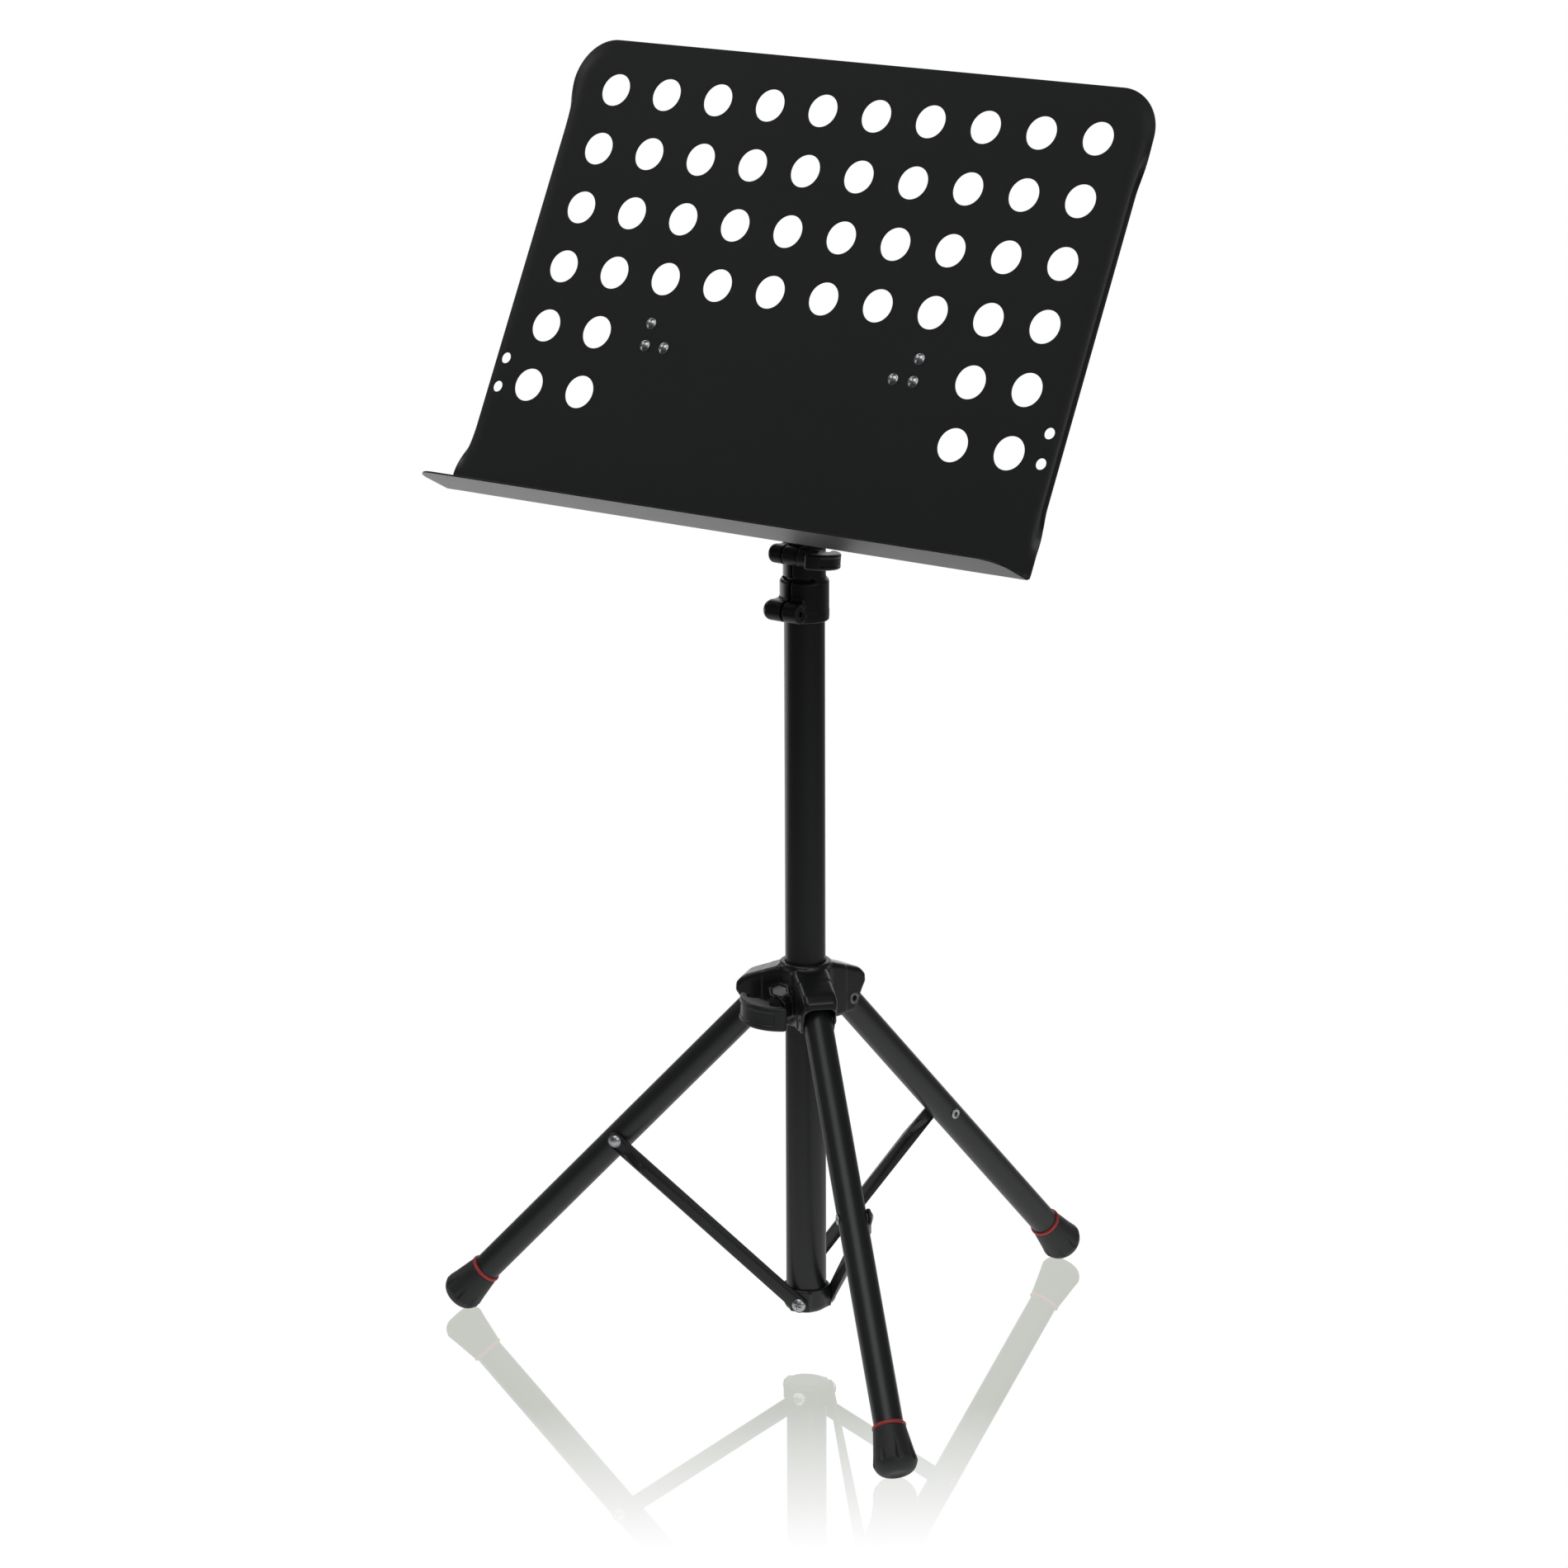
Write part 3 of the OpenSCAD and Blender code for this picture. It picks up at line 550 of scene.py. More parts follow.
def steel(slot, roughness, shade=1.0):
    """Plated steel with fine turning marks and a slightly mottled sheen."""
    color = [c * shade for c in base_colors[slot]]
    material, tree, inputs = new_material(slot, color, roughness)
    inputs["Metallic"].default_value = 1.0
    where = tree.place()
    mottle = tree.noise(where, 420, 4, 0.6)
    marks = tree.noise(where, 2600, 2)
    tree.links.new(tree.shaded(mottle, color, 0.72, 1.12), inputs["Base Color"])
    tree.links.new(tree.ramp(mottle, 0.3, 0.7, roughness - 0.07, roughness + 0.1), inputs["Roughness"])
    tree.links.new(tree.bumped(marks, 0.00002, 0.4), inputs["Normal"])
    return material


def red_band(slot):
    color = base_colors[slot]
    material, tree, inputs = new_material(slot, color, 0.42)
    where = tree.place()
    cloud = tree.noise(where, 90, 3)
    fine = tree.noise(where, 1800, 2)
    tree.links.new(tree.shaded(cloud, color, 0.85, 1.12), inputs["Base Color"])
    tree.links.new(tree.ramp(fine, 0.3, 0.7, 0.36, 0.5), inputs["Roughness"])
    tree.links.new(tree.bumped(fine, 0.00003, 0.4), inputs["Normal"])
    return material


# slot: roughness, scale of the grain, depth of the grain and of the peel in metres, spread of the sheen
COATS = {
    "tube_black": (0.36, 1500, 0.00003, 0.00010),
    "bracket_black": (0.42, 1500, 0.00003, 0.00010),
    "desk_black": (0.38, 1700, 0.00004, 0.00008),
    "moulded_black": (0.3, 2200, 0.00001, 0.00004, 0.03),
    "knob_black": (0.38, 2200, 0.00003, 0.00008),
    "boot_rubber": (0.55, 1900, 0.00005, 0.00010),
}
materials = {slot: coated(slot, *values) for slot, values in COATS.items()}
materials["zinc_steel"] = steel("zinc_steel", 0.28)
materials["ring_red"] = red_band("ring_red")
materials["black_steel"] = steel("black_steel", 0.34)
# Painted shade: a darker copy of the zinc material, for the hub's rivets
shaded_zinc = steel("zinc_steel", 0.5, 0.45)

# CAD nodes that stay are shown in the same materials.
for part in record["subparts"]:
    data = frame["nodes"][part["node"]].data
    data.materials.clear()
    data.materials.append(materials[part["material_slot"]])


# ---- tubes ----

def tube(name, place, outer, wall, low, high, body, slot="tube_black"):
    shape = Shape().add(*turned(tube_outline(outer, outer - wall, low, high), 128))
    piece(name, shape, place, body, slot, 50)


WALL = 1.2
low, high = box_mm("outer_tube")
TUBE_R = (high[0] - low[0]) / 2
tube("outer_tube", UPRIGHT, TUBE_R, WALL, low[2], high[2], "column")
low, high = box_mm("inner_tube")
MAST_R = (high[0] - low[0]) / 2
tube("inner_tube", UPRIGHT, MAST_R, WALL, low[2], high[2], "mast")

LEG_R = 10.25
LEG_TOP = -9.0
TUBE_IN_BOOT = 8.0                # the leg's tube stops this far above the boot's end
BOOT_ROUND = 9.0
BOOT_R = 15.0
BOOT_NECK_R = 11.4
BOOT_LEN = 33.0
RING_W = 2.8
RING_R = 11.8
boot_flat_r = BOOT_R - BOOT_ROUND
BOOT_END = (PIVOT_Z - boot_flat_r * math.sin(SPREAD) - BOOT_ROUND) / math.cos(SPREAD) + BOOT_ROUND
BOOT_START = BOOT_END - BOOT_LEN


# ---- feet ----

FLUTES = 8
FLUTE_FROM = 11.0                 # where a flute starts and ends, from the ring
FLUTE_TO = 24.5
FLUTE_HALF_W = 2.3
FLUTE_DEPTH = 1.3
STEP_AT = 25.5                    # the smooth band under the flutes starts here
STEP_DEPTH = 0.35


def flute(angle, r, z):
    """How far a boot's surface sinks into a flute, or swells above the smooth band."""
    from_ring = z - BOOT_START
    along = (from_ring - FLUTE_FROM) / (FLUTE_TO - FLUTE_FROM)
    if r < boot_flat_r + 3 or from_ring < 1:
        return 0.0
    swell = 0.0
    if from_ring < STEP_AT:
        swell = STEP_DEPTH * max(0.0, 1 - (STEP_AT - from_ring) / 9.0) ** 1.5
    else:
        swell = STEP_DEPTH * max(0.0, 1 - (from_ring - STEP_AT) / 0.9)
    if along <= 0:
        return swell
    step = 2 * math.pi / FLUTES
    off = ((angle + step / 2) % step - step / 2) * r
    width = FLUTE_HALF_W * min(along, 1.0) ** 0.9
    past = max(from_ring - FLUTE_TO, 0.0)
    distance = math.hypot(off, past * 1.3)
    if distance >= width:
        return swell
    return swell - FLUTE_DEPTH * min(along * 1.2, 1.0) * math.cos(0.5 * math.pi * distance / width) ** 0.7


def boot_outline():
    """Half section of a boot, finely divided where the flutes are."""
    flare_end = BOOT_END - BOOT_ROUND
    bore_end = BOOT_END - TUBE_IN_BOOT
    lip = rounded([
        (LEG_R, BOOT_START, 0), (BOOT_NECK_R, BOOT_START + 0.01, 0.5), (BOOT_R, flare_end, 0)], 4)[:6]
    first = lip[-1]
    rows = 60
    wall = [(first[0] + (BOOT_R - first[0]) * s / rows, first[1] + (flare_end - first[1]) * s / rows)
            for s in range(1, rows + 1)]
    arc = [math.pi / 2 * s / 14 for s in range(1, 15)]
    end = [(boot_flat_r + BOOT_ROUND * math.cos(a), flare_end + BOOT_ROUND * math.sin(a)) for a in arc]
    dish = [(boot_flat_r - 0.8, BOOT_END - 0.5), (0.0, BOOT_END - 0.5)]
    return lip + wall + end + dish + [(0.0, bore_end), (LEG_R - 0.2, bore_end)]


for k in LEGS:
    body = f"leg_{k}"
    place = along_leg(k)
    tube(f"leg_tube_{k}", place, LEG_R, WALL, LEG_TOP, BOOT_END - TUBE_IN_BOOT, body)
    boot = Shape().add(*turned(boot_outline(), 240, flute))
    piece(f"leg_boot_{k}", boot, place, body, "boot_rubber", lean=False)
    ring = rounded([
        (LEG_R, BOOT_START - RING_W, 0.1), (RING_R, BOOT_START - RING_W, 1.25),
        (RING_R, BOOT_START, 1.25), (LEG_R, BOOT_START, 0.1)], 8)
    piece(f"leg_ring_{k}", Shape().add(*turned(ring, 128)), place, body, "ring_red", 75, lean=False)


# ---- hub ----

low, high = box_mm("hub_body")
HUB_LOW, HUB_HIGH = low[2], high[2]
HUB_R = 18.0
ARM_HALF = 12.2
ROOT_HALF = 13.0
ROOT_END = 28.5
ARM_EDGE = 3.5                    # rounding of the arms, and the fillet between arms and collar
ARM_FILLET = 2.8
SLOT_HALF = 10.7
KNOB_OUT = np.array(joints["hub_knob_turn"]["axis"])
KNOB_SIDE = np.cross(UP, KNOB_OUT)
HUB_KNOB_Z = joint_mm("hub_knob_turn")[2]
HEX_AF = 17.0
HEX_END = 28.0
arm_side = rounded([
    (0, HUB_LOW + 0.5, 0), (37, HUB_LOW + 0.5, 3), (39.5, HUB_LOW + 2.5, 2), (44.5, 258, 14), (48.8, 266, 3),
    (48.6, 271.5, 4), (43.5, 277, 12), (34, 280.5, 30), (18, 286, 0), (0, 286, 0)], 4)
slot_side = rounded([
    (21.5, HUB_LOW - 9, 0), (60, HUB_LOW - 9, 0), (60, 261, 0), (45.5, 267.6, 2), (41.3, 271.6, 8),
    (33, 275.8, 8), (21.5, 279, 3)], 4)
PAD_R = 23.0                      # a six-sided pad above the knob's boss, facing out and up
PAD_Z = 271.0
PAD_LEAN = math.radians(45)
PAD_FLATS = 11.5
PAD_STRETCH = 1.7                # the pad is wider than it is tall, and a little off to one side
PAD_ASIDE = -3.0


def hub_distance(x, y, z):
    r = np.sqrt(x * x + y * y)
    collar = both(r - HUB_R, between(z, HUB_LOW, HUB_HIGH - 1.2), 1.6)
    lip = both(r - (HUB_R + 0.5), between(z, HUB_HIGH - 4.4, HUB_HIGH), 1.9)
    groove = rod(r - (HUB_R + 1.0), z - (HUB_HIGH - 5.2), 1.1)
    body = less(join(collar, lip, 0.6), groove, 0.6)
    arms = 1e3
    slots = 1e3
    holes = 1e3
    for k in LEGS:
        out, tangent = leg_directions(k)
        p = x * out[0] + y * out[1]
        q = np.abs(x * tangent[0] + y * tangent[1])
        side = inside_outline(p, z, arm_side)
        narrow = both(side, q - ARM_HALF, ARM_EDGE)
        wide = both(both(side, q - ROOT_HALF, ARM_EDGE), p - ROOT_END, 1.0)
        arms = np.minimum(arms, join(narrow, wide, 0.8))
        slots = np.minimum(slots, both(inside_outline(p, z, slot_side), q - SLOT_HALF, 5.5))
        hole = rod(p - PIVOT_R, z - PIVOT_Z, 3.0)
        holes = np.minimum(holes, np.maximum(hole, -p))
    body = join(body, arms, ARM_FILLET)
    forward = x * KNOB_OUT[0] + y * KNOB_OUT[1]
    across = x * KNOB_SIDE[0] + y * KNOB_SIDE[1]
    boss = both(hexagon(z - HUB_KNOB_Z, across, HEX_AF), between(forward, 5.0, HEX_END), 0.7)
    body = join(body, boss, 1.6)
    rise = (z - PAD_Z) * math.cos(PAD_LEAN) - (forward - PAD_R) * math.sin(PAD_LEAN)
    proud = (z - PAD_Z) * math.sin(PAD_LEAN) + (forward - PAD_R) * math.cos(PAD_LEAN)
    aside = (across - PAD_ASIDE) / PAD_STRETCH
    pad = both(hexagon(aside, rise, PAD_FLATS), between(proud, -9.0, 0.0), 0.5)
    body = join(body, pad, 0.8)
    body = less(body, np.maximum(hexagon(aside, rise, PAD_FLATS - 3.0), -0.8 - proud), 0.5)
    nut_pocket = np.maximum(hexagon(z - HUB_KNOB_Z, across, 13.0), HEX_END - 6.5 - forward)
    stud_hole = np.maximum(rod(z - HUB_KNOB_Z, across, 4.1), -forward)
    body = less(body, slots, 1.2)
    for cut in (holes, nut_pocket, stud_hole, r - (TUBE_R + 0.1)):
        body = less(body, cut, 0.15)
    return body


reach = 50.5
moulded("hub_body", hub_distance, (-reach, -reach, HUB_LOW - 1.5), (reach, reach, HUB_HIGH + 1.5), 0.6,
        UPRIGHT, "hub", "moulded_black")


def hollow_rivet_outline(barrel, bore, head, low, high, head_h):
    """A tubular rivet with a rolled head at each end."""
    return rounded([
        (bore, low - head_h + 0.25, 0.2), (head - 0.9, low - head_h, 0.7), (head, low - head_h * 0.4, 0.3),
        (head - 0.2, low, 0.1), (barrel, low, 0), (barrel, high, 0), (head - 0.2, high, 0.1),
        (head, high + head_h * 0.4, 0.3), (head - 0.9, high + head_h, 0.7),
        (bore, high + head_h - 0.25, 0.2)], 4)


def shank_outline(radius, length, lip=0.0):
    return rounded([(0, 0, 0), (radius, 0, lip), (radius, length, 0), (0, length, 0)], 3)


TO_Y = turn(-90, "X")             # local Z to +Y
rivets = Shape()
for k in LEGS:
    outline = hollow_rivet_outline(3.0, 2.0, 4.4, -ARM_HALF, ARM_HALF, 0.9)
    rivets.add(*turned(outline, 48), facing_leg(k) @ shift(PIVOT_R, 0, PIVOT_Z) @ TO_Y)
# the hub's rivets take the darker zinc copy, which is painted shade
piece("hub_rivets", rivets, UPRIGHT, "hub", "zinc_steel", 60, material=shaded_zinc)


# ---- knobs ----

SCOOP_SHARE = 0.26                # radius of the scoops beside the stem, as a share of the wing's overhang


def half_moon(rim_r, rim_z, wing_z, wing_t, stem_r):
    """Distance to a half-moon knob whose stem stands on z = 0 and whose wing lies in the XZ plane."""
    half_chord = math.sqrt(rim_r ** 2 - (wing_z - rim_z) ** 2)
    scoop = SCOOP_SHARE * (half_chord - stem_r)

    def distance(x, y, z):
        rho = np.sqrt(x * x + (z - rim_z) ** 2)
        wing = both(rho - rim_r, wing_z - z, 2.4)
        scoops = rod(np.abs(x) - (stem_r + scoop), z - wing_z, scoop)
        wing = less(wing, scoops, 1.2)
        wing = both(wing, np.abs(y) - wing_t / 2, 1.7)
        stem = both(rod(x, y, stem_r), between(z, 0, wing_z + scoop), 0.8)
        knob = join(wing, stem, 1.8)
        panel = both(both(np.abs(x) - rim_r * 0.66, np.abs(y) - wing_t * 0.27, 0.8), rim_r - 0.7 - rho)
        return less(knob, panel, 0.35)

    return distance


def knob(name, place, body, rim_r, rim_z, wing_z, wing_t, stem_r):
    distance = half_moon(rim_r, rim_z, wing_z, wing_t, stem_r)
    low = (-rim_r - 1, -max(wing_t / 2, stem_r) - 1, -1)
    high = (rim_r + 1, max(wing_t / 2, stem_r) + 1, rim_z + rim_r + 1)
    moulded(name, distance, low, high, 0.45, place, body, "knob_black")


KNOB_GAP = 0.4
HUB_KNOB_TURN = math.radians(-3)  # where each knob has been left
SMALL_KNOB_TURN = math.radians(-6)
side = KNOB_SIDE * math.cos(HUB_KNOB_TURN) + UP * math.sin(HUB_KNOB_TURN)
seat = KNOB_OUT * (HEX_END + KNOB_GAP) + UP * HUB_KNOB_Z
place = frame_matrix(seat, side, np.cross(KNOB_OUT, side), KNOB_OUT)
knob("hub_knob", place, "hub_knob", 27, -1.6, 10.5, 17.5, 7.5)

EAR_RIGHT = 12.6
height_axis = joint_mm("height_knob_turn")
side = np.array((0.0, math.cos(SMALL_KNOB_TURN), math.sin(SMALL_KNOB_TURN)))
place = frame_matrix((EAR_RIGHT + KNOB_GAP, height_axis[1], height_axis[2]), side,
                     np.cross((1, 0, 0), side), (1, 0, 0))
knob("height_knob", place, "height_knob", 18, 11.5, 14.5, 11, 6.6)

TILT_BOSS_END = 24.0
place = frame_matrix((0, TILT_BOSS_END + KNOB_GAP, TILT[2]), (1, 0, 0), (0, 0, -1), (0, 1, 0))
knob("tilt_knob", place, "tilt_knob", 18, 6, 9, 11, 6.6)


# ---- height clamp ----

low, high = box_mm("height_clamp")
CLAMP_LOW, CLAMP_HIGH = low[2], high[2]
SHOULDER_Z = 567.0
COLLAR_R = 17.3
NECK_R = 15.0
EAR_Y = -height_axis[1]
SCREW_Z = 546.0
LOWER_EAR_R = 7.3
UPPER_EAR_R = 6.7
LOWER_LEFT = -17.4
UPPER_LEFT = -13.4
LOWER_NUT = (-14.4, -10.9)        # where the nuts sit in the ears
UPPER_NUT = (-11.0, -6.1)
SLIT_HALF = 1.1
UPPER_SLIT_HALF = 0.6


def clamp_distance(x, y, z):
    r = np.sqrt(x * x + y * y)
    collar = both(r - COLLAR_R, between(z, CLAMP_LOW, SHOULDER_Z), 3.2)
    foot = both(r - COLLAR_R, between(z, CLAMP_LOW, CLAMP_LOW + 8), 0.9)
    neck = both(r - NECK_R, between(z, CLAMP_LOW + 8, CLAMP_HIGH), 0.9)
    body = join(join(collar, foot, 0.5), neck, 2.0)
    forward = -y - EAR_Y
    for ear_z, ear_r, left, cap in (
            (SCREW_Z, LOWER_EAR_R, LOWER_LEFT, 5.6), (height_axis[2], UPPER_EAR_R, UPPER_LEFT + 1.2, 3.4)):
        barrel = both(rod(forward, z - ear_z, ear_r), between(x, left, EAR_RIGHT), 0.9)
        dome = both(rod(forward, z - ear_z, ear_r), between(x, left, left + 14), cap)
        barrel = np.where(x < left + 7, dome, barrel)
        web = both(np.abs(z - ear_z) - ear_r * 0.96, between(x, left + 3, EAR_RIGHT - 3), 1.2)
        web = np.maximum(web, between(-y, 8, EAR_Y))
        body = join(body, join(barrel, web, 1.0), 2.2)
    slit_half = np.where(z < SHOULDER_Z + 4, SLIT_HALF, UPPER_SLIT_HALF)
    slit = np.maximum(np.abs(x) - slit_half, 8.0 + y)
    relief = both(z - 568.6, 566.4 - z)
    relief = np.maximum(both(relief, 6.6 + y), r - 40)
    body = less(body, slit, 0.5)
    body = less(body, relief, 0.4)
    screw_seat = np.maximum(rod(forward, z - SCREW_Z, 4.2), EAR_RIGHT - 4.2 - x)
    screw_hole = np.maximum(rod(forward, z - SCREW_Z, 2.5), LOWER_LEFT + 1.5 - x)
    nut_seat = np.maximum(hexagon(z - SCREW_Z, forward, 8.1), between(x, *LOWER_NUT))
    upper_hole = np.maximum(rod(forward, z - height_axis[2], 3.05), UPPER_LEFT + 1.5 - x)
    upper_nut = np.maximum(hexagon(z - height_axis[2], forward, 10.0), between(x, *UPPER_NUT))
    bore = np.where(z < SHOULDER_Z - 1, r - TUBE_R, r - (MAST_R + 0.06))
    for cut in (screw_seat, screw_hole, nut_seat, upper_hole, upper_nut, bore):
        body = less(body, cut, 0.2)
    return body


moulded("height_clamp", clamp_distance, (LOWER_LEFT - 1.5, -EAR_Y - 9, CLAMP_LOW - 1.5),
        (COLLAR_R + 1.5, COLLAR_R + 1.5, CLAMP_HIGH + 1.5), 0.45, UPRIGHT, "column", "moulded_black")


# ---- tilt head ----

HEAD_R = 15.0
HEAD_HALF = 26.0
SLEEVE_R = 15.8
SLEEVE_LOW = 655.0
MAST_TOP = 690.0
BAR_R = 8.0


def head_distance(x, y, z):
    r = np.sqrt(x * x + y * y)
    up = z - TILT[2]
    sleeve = both(r - SLEEVE_R, between(z, SLEEVE_LOW, TILT[2]), 1.2)
    barrel = both(rod(y, up, HEAD_R), np.abs(x) - HEAD_HALF, 1.5)
    boss = both(hexagon(x, up, 19.0), between(y, 0, TILT_BOSS_END), 1.0)
    body = join(join(sleeve, barrel, 4.0), boss, 2.0)
    for s in (-1, 1):
        ring = both(np.abs(np.sqrt(y * y + up * up) - 11.8) - 0.6, np.abs(x - s * HEAD_HALF) - 0.8)
        body = less(body, ring, 0.3)
    bore = np.maximum(r - MAST_R, z - MAST_TOP)
    bar = rod(y, up, BAR_R + 0.05)
    stud = np.maximum(rod(x, up, 3.05), -y)
    pocket = np.maximum(hexagon(x, up, 10.0), TILT_BOSS_END - 5.0 - y)
    for cut in (bore, bar, stud, pocket):
        body = less(body, cut, 0.2)
    return body


moulded("tilt_head", head_distance, (-HEAD_HALF - 1.5, -SLEEVE_R - 1.5, SLEEVE_LOW - 1.5),
        (HEAD_HALF + 1.5, TILT_BOSS_END + 1.5, TILT[2] + HEAD_R + 1.5), 0.5, UPRIGHT, "mast", "moulded_black")


# ---- base bracket and its screws ----

low, high = box_mm("base_bracket")
BRACKET_LOW, BRACKET_HIGH = low[2], high[2]
BRACKET_R = 16.0
STRAP_OUT = 16.8
STRAP_T = 2.0
PAD_FACE = STRAP_OUT - 0.2
SHANK_R = 2.5
tube_low = box_mm("outer_tube")[0][2]


def bracket_distance(x, y, z):
    r = np.sqrt(x * x + y * y)
    body = np.minimum(both(r - BRACKET_R, between(z, BRACKET_LOW, BRACKET_HIGH), 0.8),
                      both(r - BRACKET_R, between(z, BRACKET_LOW, BRACKET_LOW + 14), 5.5))
    lower = both(r - BRACKET_R, between(z, BRACKET_LOW, BRACKET_HIGH + 20), 5.5)
    body = np.maximum(lower, body)
    holes = 1e3
    for k in LEGS:
        out, tangent = leg_directions(k)
        p = x * out[0] + y * out[1]
        q = x * tangent[0] + y * tangent[1]
        pad = both(both(np.abs(p) - 7.5, between(z, BRACKET_LOW + 2, BRACKET_HIGH - 1), 1.5),
                   between(q, 8, PAD_FACE), 0.6)
        body = join(body, pad, 3.0)
        holes = np.minimum(holes, np.maximum(rod(p, z - STRUT_Z, SHANK_R), -q))
    body = less(body, holes, 0.2)
    return less(body, np.maximum(r - TUBE_R, tube_low - z), 0.2)


moulded("base_bracket", bracket_distance, (-20.5, -20.5, BRACKET_LOW - 1.5), (20.5, 20.5, BRACKET_HIGH + 1.5),
        0.45, UPRIGHT, "column", "bracket_black")


def pan_screw(x, y, z):
    """A pan head on z = 0 with a cross recess, and the start of its shank."""
    r = np.sqrt(x * x + y * y)
    head = both(np.sqrt(r * r + (z + 3.6) ** 2) - 6.6, both(r - 5.2, -z, 0.25), 0.6)
    depth = 1.0 + np.clip(2.2 - r, 0, 2.2) * 0.9
    cross = np.minimum(np.abs(x) - 0.55, np.abs(y) - 0.55)
    recess = np.maximum(np.maximum(cross, r - 2.7), 3.0 - depth - z)
    shank = np.maximum(rod(x, y, SHANK_R), between(z, -4.6, 0.5))
    return less(join(head, shank, 0.2), recess, 0.25)


screw = surface(pan_screw, (-5.6, -5.6, -5.0), (5.6, 5.6, 3.6), 0.2)
screws = Shape()
for k in LEGS:
    seat = facing_leg(k) @ shift(0, STRAP_OUT + STRAP_T + 0.1, STRUT_Z) @ TO_Y @ turn(25 * k, "Z")
    screws.add(screw.points, screw.faces, seat)
piece("base_screws", screws, UPRIGHT, "column", "zinc_steel", lean=False)


def socket_screw(x, y, z):
    """A socket head and its shank along Z, with the head's face at z = 0."""
    head = both(rod(x, y, 4.1), between(z, -3.8, 0), 0.4)
    shank = both(rod(x, y, 2.5), between(z, EAR_RIGHT * -1 + LOWER_LEFT + 0.6, -3.0), 0.3)
    drive = np.maximum(hexagon(x, y, 4.0), -2.6 - z)
    return less(np.minimum(head, shank), drive, 0.15)


clamp_screw = surface(socket_screw, (-4.8, -4.8, -31), (4.8, 4.8, 1), 0.25)
place = frame_matrix((EAR_RIGHT - 0.2, -EAR_Y, SCREW_Z), (0, 1, 0), (0, 0, 1), (1, 0, 0))
piece("clamp_screw", clamp_screw, place, "column", "black_steel", lean=False)


# ---- straps ----

STRAP_HALF = 5.35
STRAP_IN = LEG_R + 0.45
JOGGLE_NEAR = 10.0
JOGGLE_FAR = 30.0


def strap_bend(u, v):
    """v runs along the strap from the base hinge. The strap steps in to the side of the leg."""
    t = smoothstep((v - (STRUT_LEN - JOGGLE_FAR)) / (JOGGLE_FAR - JOGGLE_NEAR))
    lateral = STRAP_OUT + (STRAP_IN - STRAP_OUT) * t + STRAP_T / 2
    return np.stack((u, lateral, v), 1)


def strap():
    radius = STRAP_HALF + 0.55
    outline = []
    for centre, start in ((STRUT_LEN, 0), (0.0, math.pi)):
        for s in range(25):
            a = start + math.pi * s / 24
            outline.append((radius * math.cos(a), centre + radius * math.sin(a)))
    narrow = [(STRAP_HALF * math.copysign(1, u) if 4 < v < STRUT_LEN - 4 else u, v) for u, v in outline]
    holes = [circle(0, v, SHANK_R + 0.05, 32) for v in (0.0, STRUT_LEN)]
    rows = np.linspace(STRUT_LEN - JOGGLE_FAR - 2, STRUT_LEN - JOGGLE_NEAR + 2, 25)
    fill = [(u, v) for v in rows for u in (-5.0, -2.5, 0.0, 2.5, 5.0)]
    return sheet_metal(narrow, holes, fill, strap_bend, STRAP_T, 0.45)


def dome_outline(radius, height, low=0.0):
    """Half section of a domed rivet head with a thin brim."""
    ball = (radius * radius + height * height) / (2 * height)
    top = math.asin(radius / ball)
    arc = [(ball * math.sin(top * (1 - s / 14)), low + height - ball + ball * math.cos(top * (1 - s / 14)))
           for s in range(15)]
    return [(0.0, low), (radius + 0.15, low), (radius + 0.15, low + 0.25)] + arc[1:-1] + [(0.0, low + height)]


for k in LEGS:
    place = along_strut(k)
    piece(f"strut_{k}", strap(), place, f"strut_{k}", "bracket_black", 50)
    head = Shape().add(*turned(dome_outline(4.5, 2.2), 48), shift(0, STRAP_IN + STRAP_T, STRUT_LEN) @ TO_Y)
    shank = shank_outline(SHANK_R, STRAP_T + 0.1, 0.2)
    head.add(*turned(shank, 32), shift(0, STRAP_IN, STRUT_LEN) @ TO_Y)
    piece(f"rivet_head_{k}", head, place, f"strut_{k}", "zinc_steel", 60)
    tail = rounded([
        (1.5, -1.2, 0), (SHANK_R, -1.2, 0), (SHANK_R, 0.05, 0), (3.8, 0.1, 0.1), (3.8, 0.6, 0.3),
        (3.0, 0.95, 0.5), (1.5, 0.75, 0.2)], 4)
    tail = Shape().add(*turned(tail, 48), shift(0, -LEG_R, STRUT_AT) @ turn(90, "X"))
    piece(f"rivet_tail_{k}", tail, along_leg(k), f"leg_{k}", "zinc_steel", 60)


# ---- desk ----

SHEET_T = 1.2
SHEET_Y = -32.6                   # middle of the sheet from the tilt axis
DESK_TOP = 215.0
DESK_LOW = -125.0                 # the ledge's upper face
HALF_BLANK = 245.0                # half width of the blank before its sides are bent back
HALF_FOOT = 246.5                 # half width at the flared foot
SOFT_FROM = 227.9                 # the sides start to curve here
SOFT_W = 10.0
SOFT_ANGLE = math.radians(12)
CURL_W = 4.1
TIGHT_TO = 142.0                  # the tight bend fades out above this
BEND_IN = 2.0                     # inner radius of the ledge's bend
LEDGE_OUT = 44.0
CORNER_R = 32.0
LEDGE_CORNER_R = 18.0
HOLE_R = 11.9
CLIP_R = 4.0
RIVET_R = 2.0
DESK_RIVET_HEAD_R = 4.0
PITCH_X = 45.3
PITCH_Z = 44.2
FIRST_ROW = 178.0
COLUMNS = 10
ROWS = 6
FULL_ROWS = 4
END_COLUMNS = 2
CLIP_X = 230.5
CLIP_ROWS = (-26.0, -47.2)
RIVETS = ((113.8, 12.2), (113.8, -4.0), (97.4, -4.0))

bend_mid = BEND_IN + SHEET_T / 2
BEND_TOP = DESK_LOW + BEND_IN     # the sheet is flat above this
BEND_LEN = bend_mid * math.pi / 2
V_FRONT = BEND_TOP - BEND_LEN - (LEDGE_OUT - BEND_IN)


